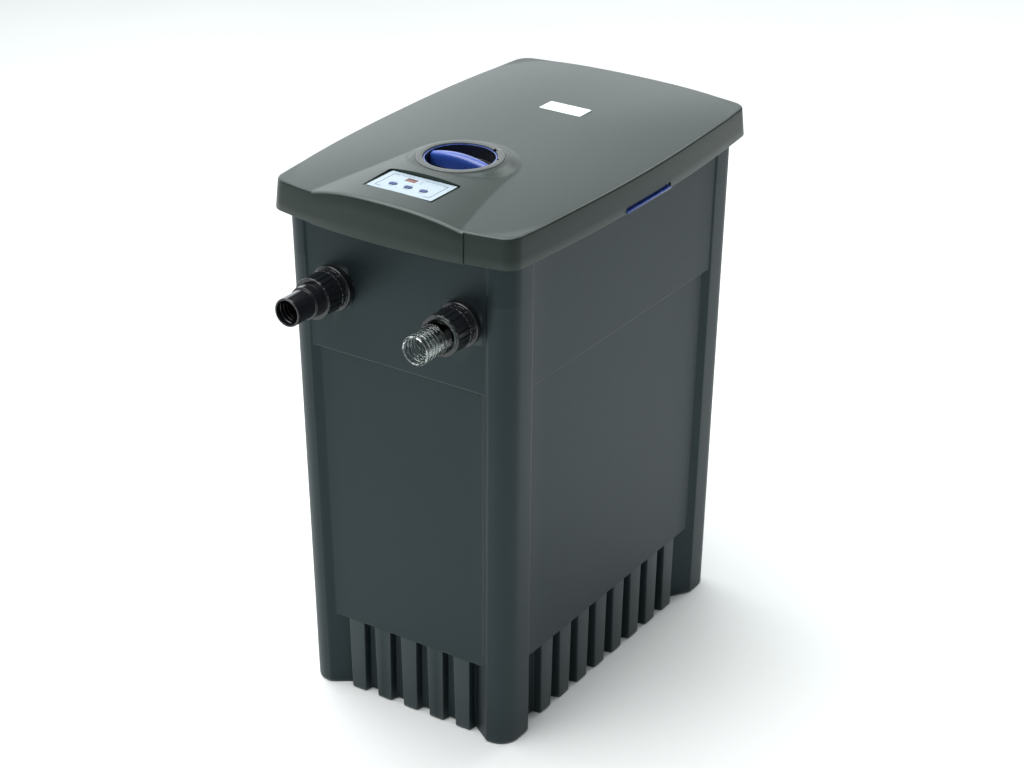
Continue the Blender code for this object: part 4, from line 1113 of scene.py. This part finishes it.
def build_fitting(name, x, tail_slot, first_step, tip_radius, body):
    """Bulkhead, union nut, stepped hose tail, wall seal and back nut, along the front wall's normal."""
    where = (x, FRONT_WALL_Y, FITTING_Z)
    bulkhead = [
        (THREAD_RADIUS, 0.0330), (THREAD_RADIUS, 0.0172), (0.0258, 0.0172), (0.0264, 0.0105),
        (0.0286, 0.0105), (0.0298, 0.0093), (0.0298, 0.0026), (THREAD_RADIUS, 0.0026),
        (THREAD_RADIUS, -0.0220), (HOSE_BORE, -0.0220), (HOSE_BORE, 0.0330),
    ]
    lugs = fluted(12, 0.0010, 0.0106, 0.0171)
    flange = turned(name + "_flange", bulkhead, where, FACING_FRONT, 144, 0.0006, lugs)
    settle(flange, "root", "black_gloss", name + "_bulkhead")
    nut = [
        (0.0262, 0.0470), (0.0269, 0.0462), (0.0269, 0.0444), (0.0264, 0.0438),
        (0.0266, 0.0205), (0.0272, 0.0195), (0.0270, 0.0180), (0.0264, 0.0178),
        (0.0249, 0.0178), (0.0249, 0.0428), (0.0214, 0.0428), (0.0214, 0.0470),
    ]
    union = turned(name + "_nut", nut, where, FACING_FRONT, 320, 0.0004, knurled)
    settle(union, body, "black_gloss", name + "_union_nut")
    tail = [
        (tip_radius - 0.0004, TAIL_REACH), (tip_radius, TAIL_REACH - 0.0010),
        (tip_radius, first_step), (0.0210, first_step), (0.0210, 0.0425), (0.0245, 0.0425),
        (0.0245, 0.0355), (HOSE_BORE, 0.0355),
    ]
    for ring in range(6):
        z = 0.0560 + 0.0062 * ring
        tail += [(HOSE_BORE, z), (HOSE_BORE + 0.0010, z + 0.0010), (HOSE_BORE + 0.0010, z + 0.0022)]
        tail.append((HOSE_BORE, z + 0.0032))
    tail.append((HOSE_BORE, TAIL_REACH))
    hose_tail = turned(name + "_hose_tail", tail, where, FACING_FRONT, 128, 0.0006)
    settle(hose_tail, "root", tail_slot, name + "_tail")
    profile = ring_profile(0.0252, 0.0290, 0.0008, 0.0023)
    seal = turned(name + "_wall_ring", profile, where, FACING_FRONT, 96, 0.0005)
    settle(seal, "root", "rubber", name + "_wall_seal")
    behind = (x, FRONT_WALL_Y + 0.0102, FITTING_Z)
    nut = hexagon_nut(name + "_lock_nut", 0.0320, THREAD_RADIUS + GAP, behind, FACING_FRONT)
    settle(nut, "root", "black_plastic", name + "_back_nut")


def hexagon_nut(name, reach, bore, location, rotation):
    """A thin nut whose corners are chamfered by a cone on both sides."""
    half = 0.0055
    corners = filleted(arc((0, 0), reach, 0, 300, 5), 0.0015, 4)
    nut = extruded(name, corners, -half, half, location, rotation)
    cone = [(0, -half - 0.001), (reach - 0.0035, -half - 0.001), (reach + 0.001, -half + 0.0025)]
    cone += [(reach + 0.001, half - 0.0025), (reach - 0.0035, half + 0.001), (0, half + 0.001)]
    rounding = turned("cone", cone, location, rotation, 96, 0.0002)
    cut(nut, [rounding], "INTERSECT")
    return cut(nut, [cylinder_cutter("bore", bore, -0.02, 0.02, location, rotation)])


def build_outlet():
    where = (0, BACK_WALL_Y, OUTLET_Z)
    profile = [
        (OUTLET_RADIUS - 0.001, OUTLET_REACH), (OUTLET_RADIUS, OUTLET_REACH - 0.002),
        (OUTLET_RADIUS, 0.0140), (0.0440, 0.0110), (0.0500, 0.0110), (0.0520, 0.0090),
        (0.0520, 0.0028), (OUTLET_RADIUS, 0.0028), (OUTLET_RADIUS, -0.0220),
        (OUTLET_BORE, -0.0220), (OUTLET_BORE, OUTLET_REACH),
    ]
    spigot = turned("outlet_spigot", profile, where, FACING_BACK, 144, 0.0008)
    settle(spigot, "root", "black_gloss", "outlet_pipe")
    profile = ring_profile(OUTLET_RADIUS + 0.0008, 0.0500, 0.0008, 0.0025)
    seal = turned("outlet_ring", profile, where, FACING_BACK, 128, 0.0005)
    settle(seal, "root", "rubber", "outlet_seal")
    behind = (0, BACK_WALL_Y - 0.0105, OUTLET_Z)
    nut = hexagon_nut("outlet_lock_nut", 0.0520, OUTLET_RADIUS + GAP, behind, FACING_BACK)
    settle(nut, "root", "black_plastic", "outlet_back_nut")


def build_gland():
    profile = [
        (0.0100, 0.3030), (0.0100, 0.2993), (0.0080, 0.2993), (0.0080, 0.2820),
        (0.0040, 0.2820), (0.0040, 0.3160), (0.0070, 0.3160), (0.0085, 0.3030),
    ]
    gland = turned("gland_body", profile, (0, 0, GLAND_Z), FACING_BACK, 72, 0.0006)
    settle(gland, "lid", "black_gloss", "cable_gland")


# ---------------------------------------------------------------- inside


def build_gasket():
    """A soft strip along the tub's rim, with a rounded crown."""
    low, high = RIM_Z + GAP, LEDGE_Z - GAP
    section = [(0.0005, low), (0.0005, high - 0.0015), (0.0011, high - 0.0003), (0.0018, high)]
    section += [(0.0025, high - 0.0003), (0.0032, high - 0.0015), (0.0032, low)]
    rings = []
    for inset, z in section:
        rings.append([(x, y, z) for x, y, _ in tub_ring(RIM_Z, inset, BAND_DEPTH, BAND_DEPTH)])
    settle(loft("rim_strip", rings, closed=True, sharp=60), "root", "rubber", "rim_gasket")


def build_clarifier():
    centre = (0, RING_Y, 0)
    plug = [
        (0.0, 0.7208), (0.0060, 0.7208), (0.0060, 0.7180), (0.0455, 0.7180), (0.0455, 0.7060),
        (0.0400, 0.7000), (0.0400, 0.6860), (0.0385, 0.6860), (0.0385, 0.6820),
        (0.0400, 0.6820), (0.0400, 0.6760), (0.0156, 0.6760), (0.0156, 0.7060), (0.0, 0.7060),
    ]
    bung = turned("clarifier_plug", plug, centre, sides=96)
    settle(bung, "uvc_insert", "black_gloss", "uvc_plug")
    turns = [2 * math.pi * step / 16 for step in range(16)]
    section = [(0.0404 + 0.0016 * math.cos(turn), 0.6840 + 0.0016 * math.sin(turn)) for turn in turns]
    seal = turned("clarifier_ring", section, centre, radius=0.0, sharp=60)
    settle(seal, "uvc_insert", "rubber", "uvc_seal")
    low, high = SLEEVE_Z
    turns = [math.pi / 2 * step / 12 for step in range(12)]
    inside = [(SLEEVE_BORE * math.cos(turn), low - SLEEVE_BORE * math.sin(turn)) for turn in turns]
    outside = [(SLEEVE_RADIUS * math.cos(turn), low - SLEEVE_RADIUS * math.sin(turn)) for turn in turns]
    profile = [(0.0, low - SLEEVE_BORE), *reversed(inside), (SLEEVE_BORE, high), (SLEEVE_RADIUS, high)]
    profile += [*outside, (0.0, low - SLEEVE_RADIUS)]
    sleeve = turned("clear_sleeve", profile, centre, sides=64, radius=0.0003, sharp=50)
    settle(sleeve, "uvc_insert", "quartz", "quartz_sleeve")
    low, high = HOUSING_Z
    profile = [
        (0.0500, high), (0.0500, high - 0.006), (HOUSING_RADIUS, high - 0.006),
        (HOUSING_RADIUS, low), (HOUSING_BORE, low), (HOUSING_BORE, high),
    ]
    housing = turned("clarifier_housing", profile, centre, sides=96, radius=0.0008)
    port = (0, RING_Y, FITTING_Z)
    stub = cylinder_cutter("stub", 0.0205, 0.0435, 0.0540, port, FACING_LEFT, 64)
    cut(housing, [stub], "UNION")
    cut(housing, [cylinder_cutter("bore", PIPE_BORE, 0.02, 0.06, port, FACING_LEFT, 64)])
    settle(housing, "root", "black_plastic", "uvc_housing")
    for level, z in (("lower", 0.340), ("upper", 0.520)):
        profile = ring_profile(HOUSING_RADIUS + GAP, HOUSING_RADIUS + 0.0035, z, z + CLIP_HEIGHT)
        clip = turned(level + "_clip", profile, centre, sides=96, radius=0.0008)
        arm = box("arm", (-0.012, RING_Y + 0.0470, z), (0.012, PARTITION_Y - GAP, z + CLIP_HEIGHT), 0.0012)
        cut(clip, [arm], "UNION")
        settle(clip, "root", "black_plastic", level + "_housing_clip")


def rounded_route(route, radius, bends=14):
    """The route with each inner corner replaced by an arc of this radius."""
    route = [Vector(point) for point in route]
    points = [route[0]]
    for before, corner, after in zip(route, route[1:], route[2:]):
        into = (corner - before).normalized()
        out = (after - corner).normalized()
        turn = into.angle(out)
        length = radius * math.tan(turn / 2)
        start = corner - into * length
        centre = start + (out - into * into.dot(out)).normalized() * radius
        for step in range(bends + 1):
            angle = turn * step / bends
            points.append(centre + (start - centre) * math.cos(angle) + into * radius * math.sin(angle))
    points.append(route[-1])
    return points


def resampled(points, spacing):
    """Points at an even spacing along a route."""
    total = sum((after - before).length for before, after in zip(points, points[1:]))
    count = round(total / spacing)
    evened = []
    segment, start = 0, 0.0
    for step in range(count + 1):
        wanted = total * step / count
        length = (points[segment + 1] - points[segment]).length
        while wanted > start + length and segment < len(points) - 2:
            start += length
            segment += 1
            length = (points[segment + 1] - points[segment]).length
        evened.append(points[segment].lerp(points[segment + 1], min((wanted - start) / length, 1.0)))
    return evened


def pipe(name, route, outer, inner, across, spacing=0.003, ripple=0.0, sides=48):
    """An open tube along a flat route; across is the route's normal, and ripple corrugates the outside."""
    points = resampled(rounded_route(route, outer * 1.6), spacing)
    across = Vector(across)
    rings = []
    for index, point in enumerate(points):
        ahead = points[min(index + 1, len(points) - 1)] - points[max(index - 1, 0)]
        side = ahead.normalized().cross(across)
        radius = outer - ripple * (index % 4 in (2, 3))
        rings.append((point, side, radius))
    loops = []
    for radii in ([radius for _, _, radius in rings], [inner] * len(rings)):
        loop = []
        for (point, side, _), radius in zip(rings, radii):
            turns = [2 * math.pi * step / sides for step in range(sides)]
            spokes = [side * math.cos(turn) + across * math.sin(turn) for turn in turns]
            loop.append([point + spoke * radius for spoke in spokes])
        loops.append(loop)
    return loft(name, loops[0] + loops[1][::-1], closed=True, sharp=60)


def build_pipes():
    start, bend = (INLET_X, PIPE_START_Y, FITTING_Z), (INLET_X, RING_Y, FITTING_Z)
    route = [start, bend, (PIPE_END_X, RING_Y, FITTING_Z)]
    inlet = pipe("inlet_elbow", route, PIPE_RADIUS, PIPE_BORE, (0, 0, 1))
    settle(inlet, "root", "black_plastic", "inlet_pipe")
    start, bend = (SLUDGE_X, PIPE_START_Y, FITTING_Z), (SLUDGE_X, PUMP_Y, FITTING_Z)
    route = [start, bend, (SLUDGE_X, PUMP_Y, SPOUT_Z)]
    hose = pipe("ribbed_hose", route, HOSE_RADIUS, HOSE_BORE, (1, 0, 0), 0.0014, 0.0016)
    settle(hose, "root", "hose_grey", "sludge_hose")


def foam_block(name, low, high, seed):
    """A block of open-cell foam: rounded edges, slack faces and a surface broken by pores."""
    low, high = Vector(low), Vector(high)
    size, centre = high - low, (low + high) / 2
    mesh = bmesh.new()
    bmesh.ops.create_cube(mesh, size=1.0)
    bmesh.ops.subdivide_edges(mesh, edges=mesh.edges[:], cuts=47, use_grid_fill=True)
    inner = size / 2 - Vector((FOAM_CORNER, FOAM_CORNER, FOAM_CORNER))
    for vertex in mesh.verts:
        place = Vector(vertex.co[axis] * size[axis] for axis in range(3))
        core = Vector(max(min(place[axis], inner[axis]), -inner[axis]) for axis in range(3))
        normal = (place - core).normalized()
        place = core + normal * FOAM_CORNER
        wave = noise_value((place + centre) * 28, seed)
        pore = noise_value((place + centre) * 240, seed + 7)
        vertex.co = place - normal * (0.0012 * (0.5 + 0.5 * wave) + 0.0016 * max(0.0, pore))
    return new_object(name, mesh, centre, sharp=80)


def noise_value(place, seed):
    return mathutils_noise.noise(place + Vector((seed * 3.7, seed * 1.9, seed * 5.3)))


def build_media():
    """The three foam blocks, coarse to fine from the bottom up, and the grid that holds them down."""
    base = FOAM_LOW_Z
    front, back = FOAM_Y
    grades = (("coarse", "foam_blue"), ("medium", "foam_green"), ("fine", "foam_red"))
    for seed, (grade, colour) in enumerate(grades, start=1):
        top = base + FOAM_HEIGHT
        block = foam_block(grade + "_foam_block", (-FOAM_HALF, front, base), (FOAM_HALF, back, top), seed)
        settle(block, "root", colour, "foam_" + grade)
        base = top + GAP
    outline = rounded_rectangle(-FOAM_HALF, front, FOAM_HALF, back, 0.003)
    retainer = extruded("retainer", outline, base, base + RETAINER_THICKNESS)
    windows = []
    for row in range(5):
        y = front + 0.040 + row * 0.0565
        for column in range(4):
            x = (column - 1.5) * 0.068
            window = rounded_rectangle(x - 0.026, y - 0.021, x + 0.026, y + 0.021, 0.005)
            windows.append(extruded("window", window, base - 0.01, base + 0.02))
    cut(retainer, windows)
    settle(retainer, "root", "black_plastic", "foam_retainer")


# ---------------------------------------------------------------- what stays as it is in CAD


def dress_cad_nodes():
    """The record's slot of each CAD node that is still shown picks its material."""
    for row in frame["record"]["subparts"]:
        node = NODES[row["node"]]
        node.data.materials.clear()
        node.data.materials.append(FINISH[row["material_slot"]])


# ---------------------------------------------------------------- stage


def build_stage():
    floor_finish, tree, shader = shader_of("floor", 0.55)
    tree.links.new(
        ramp(tree, noise(tree, 2, 1), (0.80, 0.83, 0.82), (0.84, 0.86, 0.855)), shader.inputs["Base Color"]
    )
    mesh = bmesh.new()
    bmesh.ops.create_grid(mesh, x_segments=1, y_segments=1, size=6)
    floor = new_object("floor", mesh)
    floor.data.materials.append(floor_finish)
    build_world()
    bpy.context.scene.view_settings.view_transform = "Standard"


def build_world():
    """A pale backdrop behind the object that falls off to a dim room in front of it."""
    world = bpy.data.worlds.new("studio")
    bpy.context.scene.world = world
    world.use_nodes = True
    tree = world.node_tree
    background = tree.nodes["Background"]
    background.inputs["Color"].default_value = (0.93, 0.98, 1.0, 1.0)
    place = tree.nodes.new("ShaderNodeTexCoord")
    depth = tree.nodes.new("ShaderNodeVectorMath")
    depth.operation = "DOT_PRODUCT"
    depth.inputs[1].default_value = BEHIND
    tree.links.new(place.outputs["Generated"], depth.inputs[0])
    strength = tree.nodes.new("ShaderNodeMapRange")
    strength.inputs["From Min"].default_value = 0.45
    strength.inputs["From Max"].default_value = 0.90
    strength.inputs["To Min"].default_value = ROOM_STRENGTH
    strength.inputs["To Max"].default_value = BACKDROP_STRENGTH
    tree.links.new(depth.outputs["Value"], strength.inputs["Value"])
    tree.links.new(strength.outputs["Result"], background.inputs["Strength"])


def area_light(name, location, target, side, power):
    data = bpy.data.lights.new(name, "AREA")
    data.shape = "SQUARE"
    data.size = side
    data.energy = power
    light = bpy.data.objects.new(name, data)
    bpy.context.scene.collection.objects.link(light)
    light.location = location
    aim = Vector(target) - Vector(location)
    light.rotation_euler = aim.to_track_quat("-Z", "Y").to_euler()


def build_lights():
    """A large soft light from above the left side, and two that even out the floor."""
    area_light("overhead", (-0.7, -0.2, 3.3), (0, 0, 0.5), 3.0, 150)
    area_light("back_floor", (0.6, 2.4, 2.6), (0.8, 2.0, 0), 1.6, 40)
    area_light("front_floor", (-0.4, -2.1, 2.4), (0.1, -0.7, 0), 1.6, 25)


def build_camera():
    data = bpy.data.cameras.new("camera")
    data.lens = CAMERA_LENS
    data.sensor_width = 36
    data.clip_start = 0.05
    data.clip_end = 50
    camera = bpy.data.objects.new("camera", data)
    bpy.context.scene.collection.objects.link(camera)
    place = Matrix.Translation(Vector(CAMERA_PLACE) + Vector((0, TUB_Y, 0)))
    turn = Matrix.Rotation(CAMERA_TURN, 4, "Z")
    tilt = Matrix.Rotation(math.pi / 2 - CAMERA_DIP, 4, "X")
    roll = Matrix.Rotation(CAMERA_ROLL, 4, "Z")
    camera.matrix_world = place @ turn @ tilt @ roll
    bpy.context.scene.camera = camera


# ---------------------------------------------------------------- whole scene

dress_cad_nodes()
build_stage()
build_lights()
build_camera()
build_tub()
build_lid()
build_latches()
build_buttons()
build_label()
build_plate()
build_collar()
build_knob()
build_fitting("inlet", INLET_X, "black_gloss", 0.0630, 0.0186, "inlet_nut")
build_fitting("sludge", SLUDGE_X, "clear_plastic", 0.0625, 0.0190, "sludge_nut")
build_outlet()
build_gland()
build_gasket()
build_clarifier()
build_pipes()
build_media()
